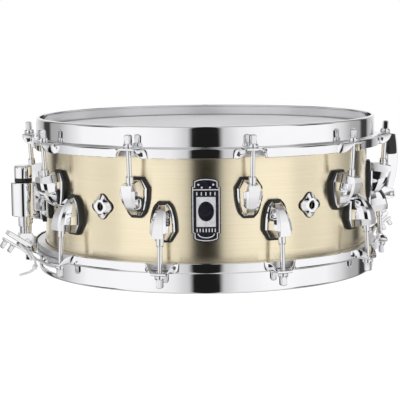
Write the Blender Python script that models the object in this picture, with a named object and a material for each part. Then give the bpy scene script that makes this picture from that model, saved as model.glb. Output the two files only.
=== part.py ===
"""Snare drum, 14 x 5.5 inch: brass shell, two chromed hoops, twenty lugs and rods, throw-off and butt.

Metres, +Z up. The drum stands on its snare side: the rim of the snare hoop is at z = 0 and the
drum's axis is the Z axis. The throw-off faces +X and the butt faces -X.
"""

import math

import bmesh
import bpy
from mathutils import Vector

# Driving dimensions
DRUM_HEIGHT = 0.165
SHELL_DEPTH = 0.1397
SHELL_RADIUS = 0.1762
SHELL_WALL = 0.0012
SHELL_EDGE = 0.0020
LUGS_PER_SIDE = 10
TOP_FIRST_ANGLE = 13.5
BOTTOM_FIRST_ANGLE = 22.5
FIT_GAP = 0.0003
ROUND_SEGMENTS = 60

# Hoop: radii from the drum's axis, depths from the rim inwards
HOOP_SHEET = 0.0023
HOOP_WALL_RADIUS = 0.18305
HOOP_LIP_RADIUS = 0.1804
HOOP_STEP_DEPTH = 0.0196
HOOP_FLANGE_DEPTH = 0.02185
HOOP_FLANGE_RADIUS = 0.1852
HOOP_BEND_RADIUS = 0.1874
HOOP_BEND_STEP = 0.0022
HOOP_SKIRT_RUN = 0.0078
HOOP_EAR_RUN = 0.0128
HOOP_GATE_RUN = 0.0010
EAR_OFFSETS = (-11.6, -5.4, -3.7, -2.0, 0.0, 2.0, 3.7, 5.4, 11.6, 18.0)
EAR_FLAT_HALF_ANGLE = 2.0
EAR_ARCH_HALF_ANGLE = 5.4
GATE_BLEND_ANGLE = 13.5
GATE_HALF_ANGLE = 12.5
GATE_LOW = 0.0058
GATE_HIGH = 0.0170
GATE_CUT_RADII = (0.178, 0.190)

# Heads
FILM_THICKNESS = 0.0005
COLLAR_RADIUS = 0.1767
COLLAR_WALL = 0.0006
FLESH_HOOP_RADIUS = 0.1860
FLESH_HOOP_HEIGHT = 0.0072

# Lugs and tension rods
LUG_BACK_RADIUS = 0.1789
LUG_CENTRE_HEIGHT = 0.0937
LUG_BORE_RADIUS = 0.0032
ROD_RADIUS = 0.0025
ROD_TILT = math.radians(3.5)
ROD_MOUTH_RADIUS = 0.1935
ROD_MOUTH_HEIGHT = 0.1080
EAR_HOLE_RADIUS = 0.0036
EAR_DRILL_REACH = 0.0060

# Butt, throw-off and snares
REACH = 0.2305
BUTT_RADIUS = 0.2030
THROW_OFF_RADIUS = 0.1990
HOUSING_RADIUS = 0.01325
PLATE_BACK = 0.1786
PIVOT_RADIUS = 0.2208
PIVOT_HEIGHT = 0.0678
CLAMP_SLOPE = math.radians(34.0)
CLAMP_HALF_WIDTH = 0.0072
CORD_RADIUS = 0.0014
CORD_GAP = 0.0034
STRAND_COUNT = 20
STRAND_PITCH = 0.0024
STRAND_SIZE = 0.0015
WIRE_TOP = 0.0113
WIRE_HINGE_X = -0.165
WIRE_END_X = 0.163
PLATE_LENGTH = 0.013

# Badge and vents
BADGE_ANGLE = -108.0
BADGE_HALF_WIDTH = 0.0144
BADGE_NECK_HALF_WIDTH = 0.01245
BADGE_HALF_HEIGHT = 0.0318
BADGE_STRAIGHT = 0.0230
BADGE_SHOULDER = 0.0040
BADGE_DOME_SHARE = 0.86
BADGE_BACK = 0.1766
BADGE_THICKNESS = 0.0012
VENT_ANGLES = (-144.0, -72.0)
VENT_HOLE_RADIUS = 0.0036
VENT_RADIUS = 0.0124
VENT_FACE_RADIUS = 0.0095
VENT_BRIM = 0.0018
VENT_LOBE = 0.07
VENT_BACK = 0.1769
VENT_THICKNESS = 0.0042

# Clamps that hold the cords
CLAMP_BAR_LENGTH = 0.0290
CLAMP_BAR_THICKNESS = 0.0056
CLAMP_PLATE_THICKNESS = 0.0025
SCREW_HALF = 0.0025
SCREW_LENGTH = 0.0088
SCREW_STATIONS = (0.0035, 0.0126)

# Butt end
BUTT_LOW = 0.0630
BUTT_HIGH = 0.0990
BUTT_STEM_RADIUS = 0.0063
KNOB_TOP = 0.1168
KNOB_RADIUS = 0.0093
KNOB_CHAMFER = 0.0015
CLAMP_STEM_RADIUS = 0.0051
STEM_TOP = 0.0760
BUTT_STEM_LOW = 0.0420
BUTT_STEM_SHOULDER = 0.0518
BORE_GAP = 0.0004
CLAMP_HEIGHT = 0.0440

# Throw-off
STRAINER_LOW = 0.0640
STRAINER_HIGH = 0.1040
STRAINER_CLAMP_HEIGHT = 0.0450
STRAINER_TIP_RADIUS = 0.2265
LEVER_HALF_WIDTH = 0.0048
GRIP_LOW = 0.1140
LEVER_TOP = 0.1365
LEVER_STRIP = 0.0022
LEVER_BOW = 0.0075
LEVER_BOW_HEIGHT = 0.1115
GRIP_HALF_WIDTH = 0.0070
FORK_HALF_WIDTH = 0.0081
FORK_SLOT_HALF_WIDTH = 0.0053
PIN_RADIUS = 0.0018
STRAINER_STEM_LOW = 0.0430

# Heights along a rod, measured from the mouth of its lug
ROD_TIP = -0.0160
ROD_FLANGE_LOW = 0.0370
ROD_FLANGE_HIGH = 0.0408
ROD_TOP = 0.0500
ROD_FLANGE_RADIUS = 0.0056
ROD_HEAD_HALF = 0.0032

# Half outline and depth of a lug at five stations from the rod's end to the far end, in metres:
# base half width and height, ridge half width, depth and height, front half width, depth and height
LUG_STATIONS = (
    ((0.0064, 0.0187), (0.0061, 0.0140, 0.0162), (0.0059, 0.0233, 0.0143)),
    ((0.0120, 0.0099), (0.0098, 0.0180, 0.0082), (0.0055, 0.0236, 0.0090)),
    ((0.0113, -0.0018), (0.0092, 0.0158, -0.0010), (0.0045, 0.0210, 0.0000)),
    ((0.0085, -0.0127), (0.0068, 0.0095, -0.0105), (0.0034, 0.0148, -0.0095)),
    ((0.0045, -0.0177), (0.0036, 0.0042, -0.0165), (0.0020, 0.0065, -0.0160)),
)
LUG_BASE_THICKNESS = 0.0018
LUG_BORE_DEPTH = 0.0180
LUG_BORE_CLEARANCE = 0.0120

# Cord routes as (distance from the drum's axis, distance along the clamp's width, height), in metres.
# Each cord runs from a loose end through the clamp, the gate, under the end plate and back again.
BUTT_CORD = (
    (0.1990, 0.0132, 0.0165), (0.2002, 0.0131, 0.0205), (0.2036, 0.0128, 0.0262), (0.2076, 0.0112, 0.0308),
    (0.2094, 0.0078, 0.0327), (0.2095, 0.0000, 0.0328), (0.2094, -0.0078, 0.0327), (0.2076, -0.0116, 0.0308),
    (0.2036, -0.0136, 0.0262), (0.1980, -0.0137, 0.0200), (0.1920, -0.0124, 0.0147), (0.1850, -0.0106, 0.0116),
    (0.1770, -0.0092, 0.0080), (0.1700, -0.0084, 0.0064), (0.1620, -0.0080, 0.0062), (0.1550, -0.0078, 0.0062),
    (0.1503, -0.0050, 0.0062), (0.1488, 0.0000, 0.0062), (0.1503, 0.0050, 0.0062), (0.1550, 0.0078, 0.0062),
    (0.1620, 0.0078, 0.0062), (0.1700, 0.0064, 0.0064), (0.1770, 0.0038, 0.0080), (0.1850, -0.0004, 0.0116),
    (0.1910, -0.0052, 0.0152), (0.1957, -0.0098, 0.0205), (0.2004, -0.0122, 0.0256), (0.2034, -0.0110, 0.0284),
    (0.2049, -0.0078, 0.0296), (0.2050, 0.0000, 0.0297), (0.2049, 0.0078, 0.0296), (0.2016, 0.0118, 0.0268),
    (0.1975, 0.0134, 0.0215), (0.1952, 0.0140, 0.0150), (0.1962, 0.0145, 0.0085), (0.2010, 0.0150, 0.0048),
    (0.2062, 0.0155, 0.0034), (0.2110, 0.0160, 0.0024),
)
STRAINER_CORD = (
    (0.2004, 0.0131, 0.0235), (0.2013, 0.0130, 0.0255), (0.2036, 0.0114, 0.0310),
    (0.2054, 0.0078, 0.0337), (0.2055, 0.0000, 0.0338), (0.2054, -0.0078, 0.0337), (0.2036, -0.0116, 0.0316),
    (0.1998, -0.0136, 0.0272), (0.1950, -0.0137, 0.0212), (0.1905, -0.0124, 0.0159), (0.1840, -0.0106, 0.0128),
    (0.1765, -0.0092, 0.0098), (0.1690, -0.0084, 0.0081), (0.1620, -0.0080, 0.0078), (0.1550, -0.0078, 0.0078),
    (0.1503, -0.0050, 0.0078), (0.1488, 0.0000, 0.0078), (0.1503, 0.0050, 0.0078), (0.1550, 0.0078, 0.0078),
    (0.1620, 0.0078, 0.0078), (0.1690, 0.0064, 0.0081), (0.1765, 0.0038, 0.0098), (0.1840, -0.0004, 0.0128),
    (0.1888, -0.0052, 0.0166), (0.1926, -0.0098, 0.0216), (0.1968, -0.0122, 0.0266), (0.1994, -0.0110, 0.0294),
    (0.2009, -0.0078, 0.0306), (0.2010, 0.0000, 0.0307), (0.2009, 0.0078, 0.0306), (0.1982, 0.0114, 0.0284),
    (0.1960, 0.0128, 0.0250), (0.1948, 0.0132, 0.0215),
)


def clear_scene():
    for old in list(bpy.data.objects):
        bpy.data.objects.remove(old, do_unlink=True)


def finish_material(name, colour, roughness, metallic):
    material = bpy.data.materials.new(name)
    material.use_nodes = True
    shader = material.node_tree.nodes["Principled BSDF"]
    shader.inputs["Base Color"].default_value = (*colour, 1.0)
    shader.inputs["Roughness"].default_value = roughness
    shader.inputs["Metallic"].default_value = metallic
    material.diffuse_color = (*colour, 1.0)
    return material


def loft(name, rings, closed=False):
    """Skin equal rings of points. A closed path joins its ends, and an open one gets flat caps."""
    bm = bmesh.new()
    loops = [[bm.verts.new(point) for point in ring] for ring in rings]
    following = loops[1:] + loops[:1] if closed else loops[1:]
    for near, far in zip(loops, following):
        for i in range(len(near)):
            j = (i + 1) % len(near)
            bm.faces.new((near[i], near[j], far[j], far[i]))
    if not closed:
        bm.faces.new(loops[0])
        bm.faces.new(loops[-1])
    bmesh.ops.recalc_face_normals(bm, faces=bm.faces)
    mesh = bpy.data.meshes.new(name)
    bm.to_mesh(mesh)
    bm.free()
    mesh.shade_smooth()
    mesh.set_sharp_from_angle(angle=math.radians(30))
    return mesh


def polar(radius, degrees, height=0.0):
    angle = math.radians(degrees)
    return Vector((radius * math.cos(angle), radius * math.sin(angle), height))


def circle(radius, height, segments):
    """One level ring of points, with a flat side towards +X."""
    step = 2 * math.pi / segments
    return [(radius * math.cos((i + 0.5) * step), radius * math.sin((i + 0.5) * step), height)
            for i in range(segments)]


def turned(name, profile, segments=ROUND_SEGMENTS):
    """A solid turned about Z from (radius, height) points, closed flat at both ends."""
    return loft(name, [circle(radius, height, segments) for radius, height in profile])


def prism(name, outline, low, high):
    """Extrude an outline of (x, z) points along Y."""
    return loft(name, [[(x, side, z) for x, z in outline] for side in (low, high)])


def block(name, x_range, y_range, z_range):
    outline = [(x_range[0], z_range[0]), (x_range[1], z_range[0]),
               (x_range[1], z_range[1]), (x_range[0], z_range[1])]
    return prism(name, outline, *y_range)


def place(mesh, material, location=(0.0, 0.0, 0.0), rotation=(0.0, 0.0, 0.0), name=None):
    """Make an object for a mesh and hang it on the drum's axis."""
    placed = bpy.data.objects.new(name or mesh.name, mesh)
    bpy.context.collection.objects.link(placed)
    if not mesh.materials:
        mesh.materials.append(material)
    placed.parent = axis_empty
    placed.location = location
    placed.rotation_euler = rotation
    return placed


def combine(target, tool_mesh, operation, location=(0.0, 0.0, 0.0), rotation=(0.0, 0.0, 0.0)):
    """Cut or join a hidden tool shape with an exact boolean."""
    tool = place(tool_mesh, target.active_material, location, rotation)
    tool.hide_render = True
    tool.display_type = 'WIRE'
    modifier = target.modifiers.new(tool.name, 'BOOLEAN')
    modifier.operation = operation
    modifier.solver = 'EXACT'
    modifier.object = tool
    return target


def thicken(centre_line, thickness):
    """Offset a line of (radius, depth) points to both sides and return one closed outline."""
    points = [Vector(point) for point in centre_line]
    sides = []
    for i, point in enumerate(points):
        before = (point - points[i - 1]).normalized() if i else None
        after = (points[i + 1] - point).normalized() if i < len(points) - 1 else None
        before = before or after
        after = after or before
        along = (before + after).normalized()
        normal = Vector((-along.y, along.x))
        reach = 0.5 * thickness / max(0.5, along.dot(before))
        sides.append((point + normal * reach, point - normal * reach))
    return [side[0] for side in sides] + [side[1] for side in reversed(sides)]


def blend_weight(value, low, high):
    """Smooth step from 0 at low to 1 at high."""
    share = min(1.0, max(0.0, (value - low) / (high - low)))
    return share * share * (3 - 2 * share)


def hoop_section(offset, gate):
    """The hoop's sheet at an angle from its nearest ear, as a closed outline of (radius, depth)."""
    arch = blend_weight(abs(offset), EAR_FLAT_HALF_ANGLE, EAR_ARCH_HALF_ANGLE)
    bend = 0.0 if gate else arch * math.pi / 2
    outer_run = HOOP_GATE_RUN if gate else HOOP_SKIRT_RUN
    outer_angle = GATE_BLEND_ANGLE if gate else EAR_ARCH_HALF_ANGLE
    share = blend_weight(abs(offset), EAR_FLAT_HALF_ANGLE, outer_angle)
    run = HOOP_EAR_RUN + (outer_run - HOOP_EAR_RUN) * share
    turn_x = HOOP_BEND_RADIUS + HOOP_BEND_STEP * math.cos(bend / 2)
    turn_z = HOOP_FLANGE_DEPTH + HOOP_BEND_STEP * math.sin(bend / 2)
    half = HOOP_SHEET / 2
    line = [(HOOP_LIP_RADIUS, half), (HOOP_WALL_RADIUS, half), (HOOP_WALL_RADIUS, HOOP_STEP_DEPTH),
            (HOOP_FLANGE_RADIUS, HOOP_FLANGE_DEPTH), (HOOP_BEND_RADIUS, HOOP_FLANGE_DEPTH),
            (turn_x, turn_z), (turn_x + run * math.cos(bend), turn_z + run * math.sin(bend))]
    return thicken(line, HOOP_SHEET)


def hoop_mesh(name, gate_centres=()):
    """A hoop with its rim at z = 0 and its body below it, first ear at the top lugs' first angle."""
    rings = []
    for lug in range(LUGS_PER_SIDE):
        ear_angle = TOP_FIRST_ANGLE + lug * 360 / LUGS_PER_SIDE
        for offset in EAR_OFFSETS:
            angle = ear_angle + offset
            misses = [abs((angle - centre + 180) % 360 - 180) for centre in gate_centres]
            gate = any(miss < 180 / LUGS_PER_SIDE - 0.01 for miss in misses)
            rings.append([polar(radius, angle, -depth) for radius, depth in hoop_section(offset, gate)])
    return loft(name, rings, closed=True)


def rod_line(height):
    """Radius of a top rod's axis at a height."""
    return ROD_MOUTH_RADIUS + (height - ROD_MOUTH_HEIGHT) * math.tan(ROD_TILT)


def cut_ear_holes(hoop, first_angle, up):
    """Drill a hole for each rod through the ears. up is true for the batter hoop."""
    ear_height = DRUM_HEIGHT - HOOP_FLANGE_DEPTH
    height = ear_height if up else DRUM_HEIGHT - ear_height
    tilt = ROD_TILT if up else math.pi - ROD_TILT
    profile = [(EAR_HOLE_RADIUS, -EAR_DRILL_REACH), (EAR_HOLE_RADIUS, EAR_DRILL_REACH)]
    for lug in range(LUGS_PER_SIDE):
        angle = first_angle + lug * 360 / LUGS_PER_SIDE
        drill = turned(f"{hoop.name}_drill_{lug:02d}", profile, 10)
        combine(hoop, drill, 'DIFFERENCE', polar(rod_line(ear_height), angle, height),
                (0.0, tilt, math.radians(angle)))


def make_hoops(chrome):
    batter = place(hoop_mesh("batter_hoop"), chrome, (0.0, 0.0, DRUM_HEIGHT))
    cut_ear_holes(batter, TOP_FIRST_ANGLE, True)
    # Turned over about X, the mesh's angle a lands at -a, so its ears meet the bottom lugs.
    first_gate = BOTTOM_FIRST_ANGLE - 180 / LUGS_PER_SIDE
    gates = [first_gate, first_gate + 180]
    mesh = hoop_mesh("snare_hoop", [-angle for angle in gates])
    snare = place(mesh, chrome, rotation=(math.pi, 0.0, 0.0))
    cut_ear_holes(snare, BOTTOM_FIRST_ANGLE, False)
    for number, gate in enumerate(gates):
        steps = [gate - GATE_HALF_ANGLE + GATE_HALF_ANGLE * i / 2 for i in range(5)]
        inner, outer = GATE_CUT_RADII
        rings = []
        for angle in steps:
            rings.append([polar(inner, angle, GATE_LOW), polar(outer, angle, GATE_LOW),
                          polar(outer, angle, GATE_HIGH), polar(inner, angle, GATE_HIGH)])
        combine(snare, loft(f"gate_cutter_{number}", rings), 'DIFFERENCE')


def make_shell(brass):
    low = (DRUM_HEIGHT - SHELL_DEPTH) / 2
    half = SHELL_WALL / 2
    radius = SHELL_RADIUS - half
    line = [(radius - 2 * SHELL_EDGE, low + half), (radius - SHELL_EDGE, low + half),
            (radius, low + SHELL_EDGE + half)]
    line += [(r, DRUM_HEIGHT - z) for r, z in reversed(line)]
    outline = thicken(line, SHELL_WALL)
    step = 360 / ROUND_SEGMENTS
    rings = [[polar(r, i * step, z) for r, z in outline] for i in range(ROUND_SEGMENTS)]
    shell = place(loft("shell", rings, closed=True), brass)
    for number, angle in enumerate(VENT_ANGLES):
        profile = [(VENT_HOLE_RADIUS, -VENT_RADIUS), (VENT_HOLE_RADIUS, VENT_RADIUS)]
        drill = turned(f"vent_drill_{number}", profile, 12)
        combine(shell, drill, 'DIFFERENCE', polar(SHELL_RADIUS, angle, DRUM_HEIGHT / 2),
                (0.0, math.pi / 2, math.radians(angle)))


def make_heads(film):
    """Each head is a film with its collar and the flesh hoop that the film is set in."""
    seat = (DRUM_HEIGHT + SHELL_DEPTH) / 2 + FIT_GAP
    hoop_top = DRUM_HEIGHT - HOOP_FLANGE_DEPTH - HOOP_SHEET / 2 - FIT_GAP
    collar = COLLAR_RADIUS + COLLAR_WALL
    profile = [(COLLAR_RADIUS, seat + FILM_THICKNESS), (collar, seat), (collar, hoop_top),
               (FLESH_HOOP_RADIUS, hoop_top), (FLESH_HOOP_RADIUS, hoop_top - FLESH_HOOP_HEIGHT),
               (COLLAR_RADIUS, hoop_top - FLESH_HOOP_HEIGHT), (COLLAR_RADIUS, seat)]
    place(turned("batter_head", profile), film)
    flipped = [(radius, DRUM_HEIGHT - height) for radius, height in profile]
    place(turned("snare_head", flipped), film)


def lug_mesh():
    """A faceted casting with its back on the YZ plane, its front towards +X and its mouth up."""
    rings = []
    for (base_half, base_z), (ridge_half, ridge_x, ridge_z), (front_half, front_x, front_z) in LUG_STATIONS:
        half = [(0.0, base_half, base_z), (LUG_BASE_THICKNESS, base_half, base_z),
                (ridge_x, ridge_half, ridge_z), (front_x, front_half, front_z)]
        rings.append(half + [(x, -y, z) for x, y, z in reversed(half)])
    return loft("lug", rings)


def cut_lug(mesh, chrome):
    """Bore the mouth once, and keep the bored mesh for all the lugs."""
    casting = place(mesh, chrome, name="lug_casting")
    mouth = (ROD_MOUTH_RADIUS - LUG_BACK_RADIUS, 0.0, ROD_MOUTH_HEIGHT - LUG_CENTRE_HEIGHT)
    profile = [(LUG_BORE_RADIUS, -LUG_BORE_DEPTH), (LUG_BORE_RADIUS, LUG_BORE_CLEARANCE)]
    drill = turned("lug_drill", profile, 8)
    combine(casting, drill, 'DIFFERENCE', mouth, (0.0, ROD_TILT, 0.0))
    bpy.context.view_layer.update()
    evaluated = casting.evaluated_get(bpy.context.evaluated_depsgraph_get())
    bored = bpy.data.meshes.new_from_object(evaluated)
    bored.name = "lug_bored"
    bpy.data.objects.remove(bpy.data.objects["lug_drill"], do_unlink=True)
    bpy.data.objects.remove(casting, do_unlink=True)
    return bored


def rod_mesh():
    """A tension rod along Z with its origin at the lug's mouth: shank, flange and square head."""
    round_part = ((ROD_RADIUS * 0.76, ROD_TIP), (ROD_RADIUS, ROD_TIP + 0.0008),
                  (ROD_RADIUS, ROD_FLANGE_LOW), (ROD_FLANGE_RADIUS, ROD_FLANGE_LOW),
                  (ROD_FLANGE_RADIUS, ROD_FLANGE_HIGH - 0.0010),
                  (ROD_FLANGE_RADIUS * 0.79, ROD_FLANGE_HIGH))
    rings = [circle(radius, height, 8) for radius, height in round_part]
    square_part = ((ROD_HEAD_HALF, ROD_FLANGE_HIGH + 0.0002), (ROD_HEAD_HALF, ROD_TOP - 0.0012),
                   (ROD_HEAD_HALF * 0.56, ROD_TOP))
    for half, height in square_part:
        corner = half * 0.68
        square = [(half, corner), (corner, half), (-corner, half), (-half, corner),
                  (-half, -corner), (-corner, -half), (corner, -half), (half, -corner)]
        rings.append([(x, y, height) for x, y in square])
    return loft("tension_rod", rings)


def make_lugs_and_rods(chrome, steel):
    lug = cut_lug(lug_mesh(), chrome)
    rod = rod_mesh()
    for side, first, up in (("top", TOP_FIRST_ANGLE, True), ("bottom", BOTTOM_FIRST_ANGLE, False)):
        for number in range(LUGS_PER_SIDE):
            degrees = first + number * 360 / LUGS_PER_SIDE
            angle = math.radians(degrees)
            lug_height = LUG_CENTRE_HEIGHT if up else DRUM_HEIGHT - LUG_CENTRE_HEIGHT
            mouth_height = ROD_MOUTH_HEIGHT if up else DRUM_HEIGHT - ROD_MOUTH_HEIGHT
            place(lug, chrome, polar(LUG_BACK_RADIUS, degrees, lug_height),
                  (0.0 if up else math.pi, 0.0, angle), f"lug_{side}_{number:02d}")
            place(rod, steel, polar(ROD_MOUTH_RADIUS, degrees, mouth_height),
                  (0.0, ROD_TILT if up else math.pi - ROD_TILT, angle), f"tension_rod_{side}_{number:02d}")


def badge_half_height(across):
    """The badge is a straight plate with a narrower domed end at its top and bottom."""
    if abs(across) > BADGE_NECK_HALF_WIDTH:
        return BADGE_STRAIGHT
    dome = math.sqrt(1 - BADGE_DOME_SHARE * (across / BADGE_NECK_HALF_WIDTH) ** 2)
    shoulder = BADGE_STRAIGHT + BADGE_SHOULDER
    return shoulder + (BADGE_HALF_HEIGHT - shoulder) * dome


def make_badge(enamel):
    neck = BADGE_NECK_HALF_WIDTH
    step = 0.0001
    stations = [-BADGE_HALF_WIDTH, -neck - step, -neck]
    stations += [neck * (i / 4) for i in range(-3, 4)]
    stations += [neck, neck + step, BADGE_HALF_WIDTH]
    rings = []
    for across in stations:
        degrees = BADGE_ANGLE + math.degrees(across / BADGE_BACK)
        half = badge_half_height(across)
        ring = []
        for radius, sign in ((BADGE_BACK, -1), (BADGE_BACK + BADGE_THICKNESS, -1),
                             (BADGE_BACK + BADGE_THICKNESS, 1), (BADGE_BACK, 1)):
            ring.append(polar(radius, degrees, DRUM_HEIGHT / 2 + sign * half))
        rings.append(ring)
    place(loft("badge", rings), enamel)


def make_vents(chrome):
    """Each vent is a four-lobed rosette with a hole through it."""
    points = 24
    lobes = [1 + VENT_LOBE * math.cos(4 * 2 * math.pi * i / points) for i in range(points)]
    sections = ((VENT_RADIUS, 0.0, True), (VENT_RADIUS, VENT_BRIM, True),
                (VENT_FACE_RADIUS, VENT_THICKNESS, True),
                (VENT_HOLE_RADIUS, VENT_THICKNESS, False), (VENT_HOLE_RADIUS, 0.0, False))
    rings = []
    for radius, depth, lobed in sections:
        ring = []
        for i in range(points):
            angle = 2 * math.pi * i / points
            reach = radius * (lobes[i] if lobed else 1.0)
            ring.append((depth, reach * math.cos(angle), reach * math.sin(angle)))
        rings.append(ring)
    mesh = loft("vent", rings, closed=True)
    for number, degrees in enumerate(VENT_ANGLES, start=1):
        place(mesh, chrome, polar(VENT_BACK, degrees, DRUM_HEIGHT / 2),
              (0.0, 0.0, math.radians(degrees)), f"vent_{number}")


def clamp_axes():
    """Unit vectors of a clamp in (radius, height): inwards along its bar, and out of its screws."""
    along = Vector((-math.cos(CLAMP_SLOPE), -math.sin(CLAMP_SLOPE)))
    out = Vector((math.sin(CLAMP_SLOPE), -math.cos(CLAMP_SLOPE)))
    return along, out


def clamp_origin(tip_radius, height):
    """Outer lower corner of a clamp's bar, so that its outer screw reaches tip_radius."""
    along, out = clamp_axes()
    depth = CORD_GAP + CLAMP_PLATE_THICKNESS + SCREW_LENGTH
    tip = along * (SCREW_STATIONS[0] - SCREW_HALF) + out * depth
    return Vector((tip_radius - tip.x, height))


def clamp_box(origin, start, end, near, far):
    """Outline in (radius, height) of a slab between two stations along the bar and two depths."""
    along, out = clamp_axes()
    corners = ((start, near), (end, near), (end, far), (start, far))
    return [tuple(origin + along * station + out * depth) for station, depth in corners]


def facing(outline, sign):
    """Turn (radius, height) points into (x, z) points on the +X or the -X side."""
    return [(sign * radius, height) for radius, height in outline]


def make_clamp_plate(name, origin, sign, chrome):
    plate_depth = CORD_GAP + CLAMP_PLATE_THICKNESS
    outline = clamp_box(origin, 0.0, CLAMP_BAR_LENGTH, CORD_GAP, plate_depth)
    plate = place(prism(name, facing(outline, sign), -CLAMP_HALF_WIDTH, CLAMP_HALF_WIDTH), chrome)
    for number, station in enumerate(SCREW_STATIONS):
        head = clamp_box(origin, station - SCREW_HALF, station + SCREW_HALF,
                         plate_depth - 0.001, plate_depth + SCREW_LENGTH)
        combine(plate, prism(f"{name}_screw_{number}", facing(head, sign), -SCREW_HALF, SCREW_HALF), 'UNION')


def make_stem(name, stem_radius, origin, sign, profile, chrome):
    """The clamp's carrier: an upright stem, a knuckle and a sloping bar."""
    stem = place(turned(name, profile, 20), chrome, (sign * stem_radius, 0.0, 0.0))
    low = profile[0][1]
    knuckle = [(stem_radius - 0.0095, low - 0.0100), (stem_radius + 0.0010, low - 0.0100),
               (stem_radius + 0.0075, low - 0.0050), (stem_radius + 0.0060, low + 0.0030),
               (stem_radius - 0.0070, low + 0.0030), (stem_radius - 0.0095, low)]
    combine(stem, prism(f"{name}_knuckle", facing(knuckle, sign), -0.0062, 0.0062), 'UNION')
    bar = clamp_box(origin, 0.0, CLAMP_BAR_LENGTH, -CLAMP_BAR_THICKNESS, 0.0)
    combine(stem, prism(f"{name}_bar", facing(bar, sign), -CLAMP_HALF_WIDTH, CLAMP_HALF_WIDTH), 'UNION')
    return stem


def make_butt(chrome):
    """The butt end on the -X side: housing, knob, sliding stem and clamp plate."""
    x = -BUTT_RADIUS
    body = turned("butt_housing", [(HOUSING_RADIUS, BUTT_LOW), (HOUSING_RADIUS, BUTT_HIGH)], 24)
    housing = place(body, chrome, (x, 0.0, 0.0))
    neck = block("butt_neck", (-BUTT_RADIUS, -PLATE_BACK - 0.001), (-0.0070, 0.0070), (0.0680, 0.0950))
    combine(housing, neck, 'UNION')
    plate = block("butt_plate", (-PLATE_BACK - 0.0030, -PLATE_BACK), (-0.0130, 0.0130), (0.0620, 0.1030))
    combine(housing, plate, 'UNION')
    bore_radius = BUTT_STEM_RADIUS + BORE_GAP
    bore = turned("butt_bore", [(bore_radius, BUTT_LOW - 0.005), (bore_radius, BUTT_LOW + 0.018)], 20)
    combine(housing, bore, 'DIFFERENCE', (x, 0.0, 0.0))

    low = BUTT_HIGH + FIT_GAP
    height = KNOB_TOP - low
    knob = [(KNOB_RADIUS, 0.0), (KNOB_RADIUS, height - KNOB_CHAMFER), (KNOB_RADIUS - KNOB_CHAMFER, height)]
    place(turned("butt_knob", knob, 24), chrome, (x, 0.0, low))

    origin = clamp_origin(REACH, CLAMP_HEIGHT)
    stem = [(CLAMP_STEM_RADIUS, BUTT_STEM_LOW), (CLAMP_STEM_RADIUS, BUTT_STEM_SHOULDER),
            (BUTT_STEM_RADIUS, BUTT_STEM_SHOULDER), (BUTT_STEM_RADIUS, STEM_TOP)]
    make_stem("butt_stem", BUTT_RADIUS, origin, -1, stem, chrome)
    make_clamp_plate("butt_clamp_plate", origin, -1, chrome)


def lever_outer(height):
    """Radius of the lever's bowed outer face at a height."""
    span = (height - LEVER_BOW_HEIGHT) / (LEVER_BOW_HEIGHT - PIVOT_HEIGHT)
    return REACH - LEVER_BOW * span * span


def lever_inner(height):
    """Radius of the lever's inner edge: slim at the pivot and deep below the grip."""
    return lever_outer(height) - 0.0085 - 0.0045 * blend_weight(height, 0.078, 0.108)


def make_lever(chrome, rubber):
    pivot = Vector((PIVOT_RADIUS, 0.0, PIVOT_HEIGHT))
    start = PIVOT_HEIGHT + 0.007
    heights = [start + i * (GRIP_LOW - start) / 6 for i in range(7)]
    grip_heights = [GRIP_LOW + i * (LEVER_TOP - GRIP_LOW) / 4 for i in range(1, 5)]
    toe = PIVOT_HEIGHT - 0.0035
    outline = [(lever_outer(z), z) for z in [toe] + heights + grip_heights]
    outline += [(lever_outer(z) - LEVER_STRIP, z) for z in reversed(grip_heights)]
    outline += [(lever_outer(GRIP_LOW) - LEVER_STRIP, GRIP_LOW)]
    outline += [(lever_inner(z), z) for z in reversed(heights)]
    outline += [(PIVOT_RADIUS - 0.0045, PIVOT_HEIGHT), (PIVOT_RADIUS - 0.0020, PIVOT_HEIGHT - 0.0045)]
    local = [(x - pivot.x, z - pivot.z) for x, z in outline]
    lever = place(prism("strainer_lever", local, -LEVER_HALF_WIDTH, LEVER_HALF_WIDTH), chrome, pivot)
    pin_half = FORK_HALF_WIDTH + 0.0005
    pin = turned("lever_pin", [(PIN_RADIUS, -pin_half), (PIN_RADIUS, pin_half)], 12)
    combine(lever, pin, 'UNION', pivot, (math.pi / 2, 0.0, 0.0))

    low = GRIP_LOW + FIT_GAP
    levels = [low] + grip_heights
    pad = [(lever_outer(z) - LEVER_STRIP - FIT_GAP, z) for z in levels]
    pad += [(lever_inner(z) + 0.0006, z) for z in reversed(levels)]
    local = [(x - pivot.x, z - pivot.z) for x, z in pad]
    place(prism("lever_grip", local, -GRIP_HALF_WIDTH, GRIP_HALF_WIDTH), rubber, pivot)


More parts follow.
